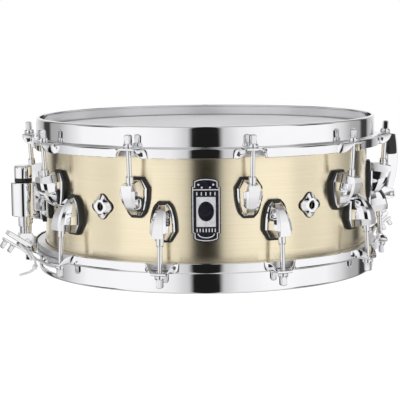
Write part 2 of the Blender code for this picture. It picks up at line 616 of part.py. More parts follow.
def make_throw_off(chrome, rubber):
    """The throw-off on the +X side: housing with a fork, lever, grip, sliding carrier and clamp plate."""
    x = THROW_OFF_RADIUS
    body = turned("strainer_housing", [(HOUSING_RADIUS, STRAINER_LOW), (HOUSING_RADIUS, STRAINER_HIGH)], 24)
    housing = place(body, chrome, (x, 0.0, 0.0))
    neck = block("strainer_neck", (PLATE_BACK + 0.001, x), (-0.0080, 0.0080), (0.0670, 0.1010))
    combine(housing, neck, 'UNION')
    plate = block("strainer_plate", (PLATE_BACK, PLATE_BACK + 0.0030), (-0.0130, 0.0130), (0.0600, 0.1080))
    combine(housing, plate, 'UNION')
    ear = [(x, 0.0645), (PIVOT_RADIUS - 0.0020, 0.0622), (PIVOT_RADIUS + 0.0040, 0.0638),
           (PIVOT_RADIUS + 0.0058, 0.0678), (PIVOT_RADIUS + 0.0040, 0.0722),
           (PIVOT_RADIUS - 0.0030, 0.0750), (x, 0.0790)]
    combine(housing, prism("strainer_ear", ear, -FORK_HALF_WIDTH, FORK_HALF_WIDTH), 'UNION')
    slot = block("strainer_slot", (x + HOUSING_RADIUS + BORE_GAP, PIVOT_RADIUS + 0.02),
                 (-FORK_SLOT_HALF_WIDTH, FORK_SLOT_HALF_WIDTH), (0.0500, 0.1200))
    combine(housing, slot, 'DIFFERENCE')
    eye_radius = PIN_RADIUS + BORE_GAP
    eye = turned("strainer_eye", [(eye_radius, -0.0150), (eye_radius, 0.0150)], 12)
    combine(housing, eye, 'DIFFERENCE', (PIVOT_RADIUS, 0.0, PIVOT_HEIGHT), (math.pi / 2, 0.0, 0.0))
    bore_radius = CLAMP_STEM_RADIUS + BORE_GAP
    profile = [(bore_radius, STRAINER_LOW - 0.010), (bore_radius, STRAINER_LOW + 0.020)]
    bore = turned("strainer_bore", profile, 20)
    combine(housing, bore, 'DIFFERENCE', (x, 0.0, 0.0))

    make_lever(chrome, rubber)
    origin = clamp_origin(STRAINER_TIP_RADIUS, STRAINER_CLAMP_HEIGHT)
    stem = [(CLAMP_STEM_RADIUS, STRAINER_STEM_LOW), (CLAMP_STEM_RADIUS, STEM_TOP)]
    make_stem("strainer_slide", x, origin, 1, stem, chrome)
    make_clamp_plate("strainer_clamp_plate", origin, 1, chrome)


def smooth_route(points, per_span=4):
    """Sample a smooth curve through a route's points (Catmull-Rom)."""
    route = [Vector(point) for point in points]
    padded = [route[0] * 2 - route[1]] + route + [route[-1] * 2 - route[-2]]
    samples = []
    for i in range(1, len(padded) - 2):
        a, b, c, d = padded[i - 1:i + 3]
        for step in range(per_span):
            t = step / per_span
            samples.append(0.5 * (2 * b + (c - a) * t + (2 * a - 5 * b + 4 * c - d) * t ** 2
                                  + (3 * b - a - 3 * c + d) * t ** 3))
    return samples + [route[-1]]


def make_cord(name, route, sign, nylon):
    """A plain tube along a route. sign is the side of the drum, and its width runs towards -Y."""
    curve = bpy.data.curves.new(name, 'CURVE')
    curve.dimensions = '3D'
    curve.bevel_depth = CORD_RADIUS
    curve.bevel_resolution = 2
    curve.use_fill_caps = True
    points = smooth_route([(sign * x, -y, z) for x, y, z in route], 2)
    spline = curve.splines.new('POLY')
    spline.points.add(len(points) - 1)
    for target, point in zip(spline.points, points):
        target.co = (*point, 1.0)
    curve.materials.append(nylon)
    cord = bpy.data.objects.new(name, curve)
    bpy.context.collection.objects.link(cord)
    cord.parent = axis_empty


def make_snare_wires(steel):
    """Straight strands between two end plates, all one flat grating."""
    half_width = STRAND_PITCH * STRAND_COUNT / 2
    rows = [WIRE_HINGE_X + 0.002, WIRE_HINGE_X + 0.002 + PLATE_LENGTH, WIRE_END_X - PLATE_LENGTH, WIRE_END_X]
    edges = []
    for strand in range(STRAND_COUNT):
        middle = -half_width + STRAND_PITCH * (strand + 0.5)
        edges += [middle - STRAND_SIZE / 2, middle + STRAND_SIZE / 2]
    bm = bmesh.new()
    grid = [[bm.verts.new((x - WIRE_HINGE_X, y, 0.0)) for y in edges] for x in rows]
    for row in range(3):
        for column in range(len(edges) - 1):
            if row == 1 and column % 2:
                continue
            bm.faces.new((grid[row][column], grid[row + 1][column],
                          grid[row + 1][column + 1], grid[row][column + 1]))
    skin = bmesh.ops.extrude_face_region(bm, geom=bm.faces[:])
    moved = [item for item in skin["geom"] if isinstance(item, bmesh.types.BMVert)]
    bmesh.ops.translate(bm, verts=moved, vec=(0.0, 0.0, -STRAND_SIZE))
    bmesh.ops.recalc_face_normals(bm, faces=bm.faces)
    mesh = bpy.data.meshes.new("snare_wires")
    bm.to_mesh(mesh)
    bm.free()
    place(mesh, steel, (WIRE_HINGE_X, 0.0, WIRE_TOP))


clear_scene()
axis_empty = bpy.data.objects.new("drum_axis", None)
bpy.context.collection.objects.link(axis_empty)

brass_shell = finish_material("brass_shell", (0.80, 0.66, 0.42), 0.28, 1.0)
chrome_plate = finish_material("chrome", (0.86, 0.86, 0.88), 0.08, 1.0)
plated_steel = finish_material("plated_steel", (0.74, 0.74, 0.76), 0.18, 1.0)
white_film = finish_material("white_film", (0.82, 0.82, 0.83), 0.35, 0.0)
badge_enamel = finish_material("badge_enamel", (0.03, 0.03, 0.06), 0.25, 0.0)
black_rubber = finish_material("black_rubber", (0.03, 0.03, 0.03), 0.60, 0.0)
white_nylon = finish_material("white_nylon", (0.88, 0.88, 0.87), 0.70, 0.0)

make_shell(brass_shell)
make_heads(white_film)
make_hoops(chrome_plate)
make_lugs_and_rods(chrome_plate, plated_steel)
make_badge(badge_enamel)
make_vents(chrome_plate)
make_butt(chrome_plate)
make_throw_off(chrome_plate, black_rubber)
make_snare_wires(plated_steel)
make_cord("snare_cord_butt", BUTT_CORD, -1, white_nylon)
make_cord("snare_cord_throw_off", STRAINER_CORD, 1, white_nylon)
bpy.context.view_layer.update()
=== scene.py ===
import math
import random

import bmesh
import bpy
from mathutils import Matrix, Vector


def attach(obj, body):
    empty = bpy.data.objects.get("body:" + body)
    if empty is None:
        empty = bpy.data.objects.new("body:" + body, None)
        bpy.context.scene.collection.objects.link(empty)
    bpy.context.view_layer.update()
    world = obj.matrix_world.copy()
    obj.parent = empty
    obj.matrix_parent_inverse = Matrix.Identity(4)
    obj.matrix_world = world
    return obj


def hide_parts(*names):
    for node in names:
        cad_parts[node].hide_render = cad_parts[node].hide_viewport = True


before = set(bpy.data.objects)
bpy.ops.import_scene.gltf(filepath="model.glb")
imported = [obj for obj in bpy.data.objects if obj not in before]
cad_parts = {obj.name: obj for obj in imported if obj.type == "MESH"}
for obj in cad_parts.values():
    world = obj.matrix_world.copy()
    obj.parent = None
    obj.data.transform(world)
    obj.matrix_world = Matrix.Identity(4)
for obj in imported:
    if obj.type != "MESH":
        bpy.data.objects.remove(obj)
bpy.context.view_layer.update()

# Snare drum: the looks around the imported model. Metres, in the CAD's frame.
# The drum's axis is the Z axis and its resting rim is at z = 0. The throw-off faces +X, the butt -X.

# Shared dimensions of the CAD model
DRUM_HEIGHT = 0.165
SHELL_LOW = 0.01265
SHELL_HIGH = 0.15235
SHELL_RADIUS = 0.1762
SHELL_WALL = 0.0012
SHELL_EDGE = 0.0020
LUGS_PER_SIDE = 10
PITCH = 360.0 / LUGS_PER_SIDE
TOP_FIRST_ANGLE = 13.5
BOTTOM_FIRST_ANGLE = 22.5
BADGE_ANGLE = -108.0
VENT_ANGLES = (-144.0, -72.0)

# Hoop
HOOP_SHEET = 0.0023
HOOP_WALL_RADIUS = 0.18305
HOOP_LIP_RADIUS = 0.1804
HOOP_FLANGE_DEPTH = 0.02185
HOOP_BEND_RADIUS = 0.1874
HOOP_BEND_CHORD = 0.0022
HOOP_SKIRT_RUN = 0.0078
HOOP_EAR_RUN = 0.0128
HOOP_GATE_RUN = 0.0010
EAR_FLAT_ANGLE = 2.0
EAR_ARCH_ANGLE = 5.4
GATE_BLEND_ANGLE = 13.5
GATE_HALF_ANGLE = 12.5
GATE_LOW = 0.0058
GATE_HIGH = 0.0170

HOLE_RADIUS = 0.0036
DRILL_REACH = 0.0060

# Lugs and rods
LUG_BACK_RADIUS = 0.1789
LUG_CENTRE_HEIGHT = 0.0937
ROD_MOUTH_RADIUS = 0.1935
ROD_MOUTH_HEIGHT = 0.1080
ROD_TILT = math.radians(3.5)
ROD_RADIUS = 0.0025
LUG_STATIONS = (
    ((0.0064, 0.0187), (0.0061, 0.0140, 0.0162), (0.0059, 0.0233, 0.0143)),
    ((0.0120, 0.0099), (0.0098, 0.0180, 0.0082), (0.0055, 0.0236, 0.0090)),
    ((0.0113, -0.0018), (0.0092, 0.0158, -0.0010), (0.0045, 0.0210, 0.0000)),
    ((0.0085, -0.0127), (0.0068, 0.0095, -0.0105), (0.0034, 0.0148, -0.0095)),
    ((0.0045, -0.0177), (0.0036, 0.0042, -0.0165), (0.0020, 0.0065, -0.0160)),
)

# Butt and throw-off
REACH = 0.2305
BUTT_RADIUS = 0.2030
THROW_OFF_RADIUS = 0.1990
HOUSING_RADIUS = 0.01325
PLATE_BACK = 0.1786
PLATE_HALF_WIDTH = 0.0130
GASKET_MARGIN = 0.0015
PIVOT_RADIUS = 0.2208
PIVOT_HEIGHT = 0.0678
CLAMP_SLOPE = math.radians(34.0)
CLAMP_HALF_WIDTH = 0.0072
CORD_RADIUS = 0.0014
CORD_GAP = 0.0034
CLAMP_BAR_LENGTH = 0.0290
CLAMP_BAR_THICKNESS = 0.0056
CLAMP_PLATE_THICKNESS = 0.0025
SCREW_HALF = 0.0025
SCREW_LENGTH = 0.0088
SCREW_STATIONS = (0.0035, 0.0126)


# ---------------------------------------------------------------- mesh helpers

def polar(radius, degrees, height=0.0):
    angle = math.radians(degrees)
    return Vector((radius * math.cos(angle), radius * math.sin(angle), height))


def mesh_of(name, bm, sharp=35.0):
    """Turn a bmesh into a smooth-shaded mesh whose edges over the angle stay sharp."""
    bmesh.ops.recalc_face_normals(bm, faces=bm.faces)
    if bm.calc_volume(signed=True) < 0:
        bmesh.ops.reverse_faces(bm, faces=bm.faces)
    mesh = bpy.data.meshes.new(name)
    bm.to_mesh(mesh)
    bm.free()
    mesh.shade_smooth()
    mesh.set_sharp_from_angle(angle=math.radians(sharp))
    return mesh


def loft(name, rings, closed=False, sharp=35.0):
    """Skin equal rings of points. A closed path joins its ends, and an open one gets caps."""
    bm = bmesh.new()
    loops = [[bm.verts.new(point) for point in ring] for ring in rings]
    following = loops[1:] + loops[:1] if closed else loops[1:]
    for near, far in zip(loops, following):
        for i in range(len(near)):
            j = (i + 1) % len(near)
            bm.faces.new((near[i], near[j], far[j], far[i]))
    if not closed:
        bm.faces.new(loops[0])
        bm.faces.new(loops[-1])
    return mesh_of(name, bm, sharp)


def circle(radius, height, segments):
    step = 2 * math.pi / segments
    return [(radius * math.cos((i + 0.5) * step), radius * math.sin((i + 0.5) * step), height)
            for i in range(segments)]


def turned(name, profile, segments=64):
    """A solid turned about Z from (radius, height) points, with flat ends."""
    return loft(name, [circle(radius, height, segments) for radius, height in profile])


def turned_ring(name, outline, segments=64):
    """A ring turned about Z from a closed (radius, height) outline."""
    step = 360.0 / segments
    rings = [[polar(r, i * step, z) for r, z in outline] for i in range(segments)]
    return loft(name, rings, closed=True)


def rounded(points, radius, closed=False, steps=4):
    """Replace the corners of a 2-D line with arcs. radius is one number or one for each point."""
    count = len(points)
    vectors = [Vector(point) for point in points]
    radii = [radius] * count if isinstance(radius, float) else radius
    result = []
    for i, corner in enumerate(vectors):
        if radii[i] <= 0 or (not closed and i in (0, count - 1)):
            result.append(corner)
            continue
        before = corner - vectors[i - 1]
        after = vectors[(i + 1) % count] - corner
        turn = before.angle_signed(after)
        if abs(turn) < 1e-4:
            result.append(corner)
            continue
        room = 0.48 * min(before.length, after.length)
        cut = min(room, radii[i] * math.tan(abs(turn) / 2))
        bend = cut / math.tan(abs(turn) / 2)
        along = before.normalized()
        side = Vector((-along.y, along.x)) * (-1 if turn > 0 else 1)
        start = corner - along * cut
        for k in range(steps + 1):
            a = abs(turn) * k / steps
            result.append(start + along * (bend * math.sin(a)) + side * (bend * (1 - math.cos(a))))
    return result


def prism(name, outline, low, high):
    """Extrude an outline of (x, z) points along Y."""
    return loft(name, [[(x, side, z) for x, z in outline] for side in (low, high)])


def slab(x_range, y_range, z_range):
    outline = [(x_range[0], z_range[0]), (x_range[1], z_range[0]),
               (x_range[1], z_range[1]), (x_range[0], z_range[1])]
    return prism("slab", outline, *y_range)


def with_modifiers(mesh, name, add):
    """Return the mesh with the modifiers that add(temporary object) puts on it applied."""
    temporary = bpy.data.objects.new("temporary", mesh)
    bpy.context.scene.collection.objects.link(temporary)
    tools = add(temporary) or []
    bpy.context.view_layer.update()
    depsgraph = bpy.context.evaluated_depsgraph_get()
    evaluated = temporary.evaluated_get(depsgraph)
    result = bpy.data.meshes.new_from_object(evaluated, preserve_all_data_layers=True, depsgraph=depsgraph)
    result.name = name
    result.materials.clear()
    for used in [temporary, *tools]:
        bpy.data.objects.remove(used, do_unlink=True)
    return result


def bevelled(mesh, width, segments=3, angle=30.0):
    """Round the mesh's sharp edges and keep its faces flat between them."""
    def add(target):
        modifier = target.modifiers.new("bevel", 'BEVEL')
        modifier.width = width
        modifier.segments = segments
        modifier.limit_method = 'ANGLE'
        modifier.angle_limit = math.radians(angle)
        modifier.harden_normals = True
        modifier.miter_outer = 'MITER_ARC'
        target.data.shade_smooth()
    return with_modifiers(mesh, mesh.name, add)


def combined(mesh, tool_meshes, operation, matrices=None):
    """Boolean the mesh with each tool mesh, placed by its matrix."""
    def add(target):
        tools = []
        for i, tool_mesh in enumerate(tool_meshes):
            tool = bpy.data.objects.new("tool", tool_mesh)
            bpy.context.scene.collection.objects.link(tool)
            if matrices:
                tool.matrix_world = matrices[i]
            modifier = target.modifiers.new("boolean", 'BOOLEAN')
            modifier.operation = operation
            modifier.solver = 'EXACT'
            modifier.object = tool
            tools.append(tool)
        return tools
    return with_modifiers(mesh, mesh.name, add)


def moved(mesh, matrix):
    mesh.transform(matrix)
    return mesh


def place_matrix(location, rotation):
    turn = Matrix.Rotation(rotation[2], 4, 'Z') @ Matrix.Rotation(rotation[1], 4, 'Y')
    return Matrix.Translation(location) @ turn @ Matrix.Rotation(rotation[0], 4, 'X')


def show(mesh, name, material, body, replaced=(), matrix=None):
    """Make a visible piece, let it ride on a body and hide the CAD nodes that it stands for."""
    piece = bpy.data.objects.new(name, mesh)
    bpy.context.scene.collection.objects.link(piece)
    if not mesh.materials:
        mesh.materials.append(material)
    if matrix is not None:
        piece.matrix_world = matrix
    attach(piece, body)
    if replaced:
        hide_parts(*replaced)
    return piece


# ---------------------------------------------------------------- materials

def principled(name, colour, metallic, roughness):
    material = bpy.data.materials.new(name)
    material.use_nodes = True
    shader = material.node_tree.nodes["Principled BSDF"]
    shader.inputs["Base Color"].default_value = (*colour, 1.0)
    shader.inputs["Metallic"].default_value = metallic
    shader.inputs["Roughness"].default_value = roughness
    return material


def node(material, kind, **inputs):
    made = material.node_tree.nodes.new(kind)
    for key, value in inputs.items():
        made.inputs[key.replace("_", " ")].default_value = value
    return made


def link(material, source, target):
    material.node_tree.links.new(source, target)


def scaled_noise(material, scale, stretch=(1.0, 1.0, 1.0), detail=3.0):
    """Noise in the object's own space. stretch packs it closer along an axis."""
    coordinates = node(material, "ShaderNodeTexCoord")
    mapping = node(material, "ShaderNodeMapping", Scale=stretch)
    noise = node(material, "ShaderNodeTexNoise", Scale=scale, Detail=detail)
    link(material, coordinates.outputs["Object"], mapping.inputs["Vector"])
    link(material, mapping.outputs["Vector"], noise.inputs["Vector"])
    return noise


def vary(material, noise, socket, low, high):
    """Drive one of the shader's sockets between two values with a noise."""
    spread = node(material, "ShaderNodeMapRange", From_Min=0.3, From_Max=0.7, To_Min=low, To_Max=high)
    link(material, noise.outputs["Fac"], spread.inputs["Value"])
    shader = material.node_tree.nodes["Principled BSDF"]
    link(material, spread.outputs["Result"], shader.inputs[socket])


def tint(material, noise, dark, light):
    """Drive the base colour between two colours with a noise."""
    ramp = node(material, "ShaderNodeValToRGB")
    ramp.color_ramp.elements[0].position = 0.35
    ramp.color_ramp.elements[1].position = 0.65
    ramp.color_ramp.elements[0].color = (*dark, 1.0)
    ramp.color_ramp.elements[1].color = (*light, 1.0)
    link(material, noise.outputs["Fac"], ramp.inputs["Fac"])
    shader = material.node_tree.nodes["Principled BSDF"]
    link(material, ramp.outputs["Color"], shader.inputs["Base Color"])


def bump(material, height, strength, distance):
    relief = node(material, "ShaderNodeBump", Strength=strength, Distance=distance)
    link(material, height, relief.inputs["Height"])
    shader = material.node_tree.nodes["Principled BSDF"]
    link(material, relief.outputs["Normal"], shader.inputs["Normal"])


def brass_material():
    """Brushed brass under clear lacquer: the brush lines run round the shell."""
    material = principled("brushed_brass", (0.98, 0.885, 0.69), 1.0, 0.25)
    shader = material.node_tree.nodes["Principled BSDF"]
    shader.inputs["Anisotropic"].default_value = 0.90
    shader.inputs["Anisotropic Rotation"].default_value = 0.25
    tangent = node(material, "ShaderNodeTangent")
    tangent.direction_type = 'RADIAL'
    tangent.axis = 'Z'
    link(material, tangent.outputs["Tangent"], shader.inputs["Tangent"])
    lines = scaled_noise(material, 9.0, (1.0, 1.0, 190.0), 5.0)
    tint(material, lines, (0.965, 0.845, 0.60), (0.99, 0.89, 0.675))
    fine = scaled_noise(material, 14.0, (1.0, 1.0, 260.0), 2.0)
    bump(material, fine.outputs["Fac"], 0.06, 0.00005)
    return material


def metal_material(name, dark, light, rough_low, rough_high, grain=60.0):
    """Plated metal with a slightly uneven polish."""
    material = principled(name, light, 1.0, rough_low)
    cloud = scaled_noise(material, grain, detail=4.0)
    vary(material, cloud, "Roughness", rough_low, rough_high)
    tone = scaled_noise(material, grain * 0.35, detail=2.0)
    tint(material, tone, dark, light)
    return material


def film_material():
    """Coated drum head: satin white with a fine sprayed grain."""
    material = principled("coated_film", (0.80, 0.80, 0.81), 0.0, 0.42)
    cloud = scaled_noise(material, 22.0, detail=4.0)
    tint(material, cloud, (0.76, 0.76, 0.775), (0.81, 0.81, 0.825))
    vary(material, cloud, "Roughness", 0.36, 0.48)
    grain = scaled_noise(material, 2600.0, detail=2.0)
    bump(material, grain.outputs["Fac"], 0.25, 0.00006)
    return material


def rubber_material(name, colour, rough_low, rough_high):
    material = principled(name, colour, 0.0, rough_low)
    cloud = scaled_noise(material, 120.0, detail=3.0)
    vary(material, cloud, "Roughness", rough_low, rough_high)
    grain = scaled_noise(material, 2200.0, detail=2.0)
    bump(material, grain.outputs["Fac"], 0.3, 0.00004)
    return material


def enamel_material():
    """Dark enamel with a faint orange-peel surface."""
    material = principled("dark_enamel", (0.010, 0.010, 0.017), 0.0, 0.20)
    shader = material.node_tree.nodes["Principled BSDF"]
    shader.inputs["Coat Weight"].default_value = 0.4
    cloud = scaled_noise(material, 300.0, detail=2.0)
    tint(material, cloud, (0.008, 0.008, 0.014), (0.014, 0.013, 0.022))
    vary(material, cloud, "Roughness", 0.18, 0.28)
    return material


def silver_material():
    """Satin silver of the badge's raised parts, lighter than a mirror in the dark gap."""
    material = principled("badge_silver", (0.74, 0.74, 0.77), 0.35, 0.42)
    cloud = scaled_noise(material, 260.0, detail=3.0)
    tint(material, cloud, (0.68, 0.68, 0.70), (0.80, 0.80, 0.82))
    vary(material, cloud, "Roughness", 0.36, 0.50)
    return material


def cord_material():
    """White nylon cord with a crossed braid."""
    material = principled("braided_nylon", (0.84, 0.84, 0.83), 0.0, 0.75)
    cloud = scaled_noise(material, 400.0, detail=3.0)
    tint(material, cloud, (0.70, 0.70, 0.69), (0.87, 0.87, 0.86))
    shader = material.node_tree.nodes["Principled BSDF"]
    shader.inputs["Sheen Weight"].default_value = 0.3
    braid = node(material, "ShaderNodeTexVoronoi", Scale=1500.0)
    coordinates = node(material, "ShaderNodeTexCoord")
    link(material, coordinates.outputs["Object"], braid.inputs["Vector"])
    bump(material, braid.outputs["Distance"], 0.8, 0.0002)
    return material


brass = brass_material()
chrome = metal_material("chrome_plate", (0.90, 0.90, 0.915), (0.935, 0.935, 0.95), 0.035, 0.075)
steel = metal_material("plated_steel", (0.80, 0.80, 0.82), (0.88, 0.88, 0.90), 0.09, 0.16)
silver = silver_material()
aluminium = metal_material("flesh_hoop_aluminium", (0.70, 0.70, 0.71), (0.78, 0.78, 0.79), 0.28, 0.40)
wire_steel = metal_material("snare_wire_steel", (0.72, 0.72, 0.74), (0.84, 0.84, 0.86), 0.16, 0.26)
film = film_material()
gasket_rubber = rubber_material("gasket_rubber", (0.012, 0.012, 0.012), 0.34, 0.50)
grip_rubber = rubber_material("grip_rubber", (0.016, 0.016, 0.017), 0.42, 0.60)
enamel = enamel_material()
nylon = cord_material()
dark_tip = rubber_material("cord_tip", (0.05, 0.05, 0.05), 0.45, 0.60)


# ---------------------------------------------------------------- camera, world and floor

def make_camera():
    azimuth = math.radians(BADGE_ANGLE)
    distance = 1.5403
    height = 0.2641
    yaw = math.radians(-0.244)
    pitch = math.radians(7.174)
    roll = math.radians(-0.524)
    away = Vector((-math.cos(azimuth), -math.sin(azimuth), 0.0))
    right = Vector((away.y, -away.x, 0.0))
    level = away * math.cos(yaw) + right * math.sin(yaw)
    right = right * math.cos(yaw) - away * math.sin(yaw)
    forward = level * math.cos(pitch) - Vector((0.0, 0.0, math.sin(pitch)))
    up = right.cross(forward)
    side = right * math.cos(roll) + up * math.sin(roll)
    top = up * math.cos(roll) - right * math.sin(roll)
    camera = bpy.data.objects.new("camera", bpy.data.cameras.new("camera"))
    camera.data.sensor_width = 36.0
    camera.data.lens = 126.48
    camera.data.clip_start = 0.05
    camera.data.clip_end = 50.0
    matrix = Matrix((side, top, -forward)).transposed().to_4x4()
    matrix.translation = polar(distance, BADGE_ANGLE, height)
    camera.matrix_world = matrix
    bpy.context.scene.collection.objects.link(camera)
    bpy.context.scene.camera = camera


def maths_node(tree, operation, value=None):
    made = tree.nodes.new("ShaderNodeMath")
    made.operation = operation
    if value is not None:
        made.inputs[1].default_value = value
    return made


def ramp_node(tree, stops):
    """A grey ramp from (position, value) stops."""
    ramp = tree.nodes.new("ShaderNodeValToRGB")
    elements = ramp.color_ramp.elements
    elements[0].position, elements[1].position = stops[0][0], stops[-1][0]
    for position, _ in stops[1:-1]:
        elements.new(position)
    for element, (_, value) in zip(elements, stops):
        element.color = (value, value, value, 1.0)
    return ramp


def make_world():
    """A white studio with a dark gap behind the camera, dimmer sides and a grey ceiling."""
    world = bpy.data.worlds.new("studio")
    bpy.context.scene.world = world
    world.use_nodes = True
    tree = world.node_tree
    coordinates = tree.nodes.new("ShaderNodeTexCoord")
    turn = tree.nodes.new("ShaderNodeVectorRotate")
    turn.rotation_type = 'Z_AXIS'
    turn.inputs["Angle"].default_value = -math.radians(BADGE_ANGLE)
    split = tree.nodes.new("ShaderNodeSeparateXYZ")
    tree.links.new(coordinates.outputs["Generated"], turn.inputs["Vector"])
    tree.links.new(turn.outputs["Vector"], split.inputs["Vector"])
    bearing = maths_node(tree, 'ARCTAN2')
    tree.links.new(split.outputs["Y"], bearing.inputs[0])
    tree.links.new(split.outputs["X"], bearing.inputs[1])
    size = maths_node(tree, 'ABSOLUTE')
    tree.links.new(bearing.outputs[0], size.inputs[0])
    share = maths_node(tree, 'DIVIDE', math.pi)
    tree.links.new(size.outputs[0], share.inputs[0])
    around = ramp_node(tree, [(angle / 180.0, value) for angle, value in (
        (8.5, 0.012), (11.5, 0.62), (22.0, 0.90), (40.0, 1.0), (88.0, 1.0), (103.0, 0.74),
        (113.0, 0.46), (125.0, 0.40), (128.5, 0.05), (137.0, 0.05), (141.0, 0.45), (165.0, 0.90))])
    tree.links.new(share.outputs[0], around.inputs["Fac"])
    height = maths_node(tree, 'MULTIPLY_ADD', 0.5)
    height.inputs[2].default_value = 0.5
    tree.links.new(split.outputs["Z"], height.inputs[0])
    upward = ramp_node(tree, [((math.sin(math.radians(angle)) + 1) / 2, value) for angle, value in (
        (-70.0, 0.75), (-30.0, 1.0), (30.0, 1.0), (50.0, 0.85), (72.0, 0.5))])
    tree.links.new(height.outputs[0], upward.inputs["Fac"])
    side = ramp_node(tree, [(angle / 180.0, value) for angle, value in (
        (63.0, 0.0), (67.0, 1.0), (94.0, 1.0), (100.0, 0.0))])
    tree.links.new(share.outputs[0], side.inputs["Fac"])
    beyond = ramp_node(tree, [((math.sin(math.radians(angle)) + 1) / 2, value) for angle, value in (
        (-50.0, 0.0), (-45.0, 0.96), (-22.0, 0.96), (-17.0, 0.0), (8.0, 0.0), (12.0, 0.96),
        (40.0, 0.96), (46.0, 0.0))])
    tree.links.new(height.outputs[0], beyond.inputs["Fac"])
    shade = maths_node(tree, 'MULTIPLY')
    tree.links.new(side.outputs["Color"], shade.inputs[0])
    tree.links.new(beyond.outputs["Color"], shade.inputs[1])
    lit = maths_node(tree, 'SUBTRACT')
    lit.inputs[0].default_value = 1.0
    tree.links.new(shade.outputs[0], lit.inputs[1])
    level = tree.nodes.new("ShaderNodeMixRGB")
    level.blend_type = 'MULTIPLY'
    level.inputs["Fac"].default_value = 1.0
    tree.links.new(around.outputs["Color"], level.inputs["Color1"])
    tree.links.new(upward.outputs["Color"], level.inputs["Color2"])
    studio = tree.nodes["Background"]
    tree.links.new(level.outputs["Color"], studio.inputs["Color"])
    tree.links.new(lit.outputs[0], studio.inputs["Strength"])
    backdrop = tree.nodes.new("ShaderNodeBackground")
    backdrop.inputs["Color"].default_value = (1.0, 1.0, 1.0, 1.0)
    path = tree.nodes.new("ShaderNodeLightPath")
    mix = tree.nodes.new("ShaderNodeMixShader")
    tree.links.new(path.outputs["Is Camera Ray"], mix.inputs["Fac"])
    tree.links.new(studio.outputs["Background"], mix.inputs[1])
    tree.links.new(backdrop.outputs["Background"], mix.inputs[2])
    tree.links.new(mix.outputs["Shader"], tree.nodes["World Output"].inputs["Surface"])


def make_floor():
    """A round pale floor just under the rim. It is one-sided, so it hides nothing from below."""
    bm = bmesh.new()
    bm.faces.new([bm.verts.new(point) for point in circle(0.9, -0.0002, 96)])
    disc = bpy.data.meshes.new("studio_floor")
    bm.to_mesh(disc)
    bm.free()
    floor = bpy.data.objects.new("studio_floor", disc)
    bpy.context.scene.collection.objects.link(floor)
    pale = principled("pale_floor", (0.42, 0.42, 0.42), 0.0, 0.9)
    shader = pale.node_tree.nodes["Principled BSDF"]
    shader.inputs["Emission Color"].default_value = (1.0, 1.0, 1.0, 1.0)
    shader.inputs["Emission Strength"].default_value = 0.82
    side = node(pale, "ShaderNodeNewGeometry")
    clear = node(pale, "ShaderNodeBsdfTransparent")
    mix = node(pale, "ShaderNodeMixShader")
    link(pale, side.outputs["Backfacing"], mix.inputs["Fac"])
    link(pale, shader.outputs["BSDF"], mix.inputs[1])
    link(pale, clear.outputs["BSDF"], mix.inputs[2])
    link(pale, mix.outputs["Shader"], pale.node_tree.nodes["Material Output"].inputs["Surface"])
    disc.materials.append(pale)
    floor.visible_glossy = False


def make_softbox(name, bearing, elevation, distance, size, power):
    """A large soft light aimed at the drum's middle."""
    light = bpy.data.lights.new(name, 'AREA')
    light.shape = 'DISK'
    light.size = size
    light.energy = power
    lamp = bpy.data.objects.new(name, light)
    bpy.context.scene.collection.objects.link(lamp)
    angle = math.radians(elevation)
    lamp.location = polar(distance * math.cos(angle), BADGE_ANGLE + bearing, distance * math.sin(angle))
    aim = Vector((0.0, 0.0, DRUM_HEIGHT / 2)) - lamp.location
    lamp.rotation_euler = aim.to_track_quat('-Z', 'Y').to_euler()
    lamp.visible_glossy = False


make_camera()
make_world()
make_floor()
make_softbox("soft_left", -50.0, 50.0, 2.2, 1.4, 9.0)
make_softbox("soft_right", 55.0, 40.0, 2.2, 1.4, 7.0)
bpy.context.scene.view_settings.view_transform = 'Standard'


# ---------------------------------------------------------------- shell, heads and hoops

def make_shell():
    half = SHELL_WALL / 2
    radius = SHELL_RADIUS - half
    low = SHELL_LOW
    high = SHELL_HIGH
    line = [(radius - 2 * SHELL_EDGE, low + half), (radius - SHELL_EDGE * 0.6, low + half),
            (radius, low + SHELL_EDGE * 1.2)]
    line += [(r, low + high - z) for r, z in reversed(line)]
    centre = rounded(line, [0.0, 0.0012, 0.0014, 0.0014, 0.0012, 0.0], steps=5)
    outline = sheet_outline(centre, SHELL_WALL, 0.0003)
    mesh = turned_ring("shell_visual", outline, 288)
    drill = turned("vent_drill", [(HOLE_RADIUS, -DRILL_REACH), (HOLE_RADIUS, DRILL_REACH)], 32)
    matrices = [place_matrix(polar(SHELL_RADIUS, angle, DRUM_HEIGHT / 2),
                             (0.0, math.pi / 2, math.radians(angle))) for angle in VENT_ANGLES]
    mesh = combined(mesh, [drill, drill], 'DIFFERENCE', matrices)
    straighten_normals(mesh)
    show(mesh, "brass_shell", brass, "root", ["shell"])


def straighten_normals(mesh):
    """Give the upright walls of a drilled ring exact radial normals."""
    normals = [Vector(corner.vector) for corner in mesh.corner_normals]
    for face in mesh.polygons:
        for corner in face.loop_indices:
            point = mesh.vertices[mesh.loops[corner].vertex_index].co
            radial = Vector((point.x, point.y, 0.0)).normalized()
            facing_out = face.normal.dot(radial)
            if abs(facing_out) > 0.995:
                normals[corner] = radial * math.copysign(1.0, facing_out)
    mesh.normals_split_custom_set(normals)


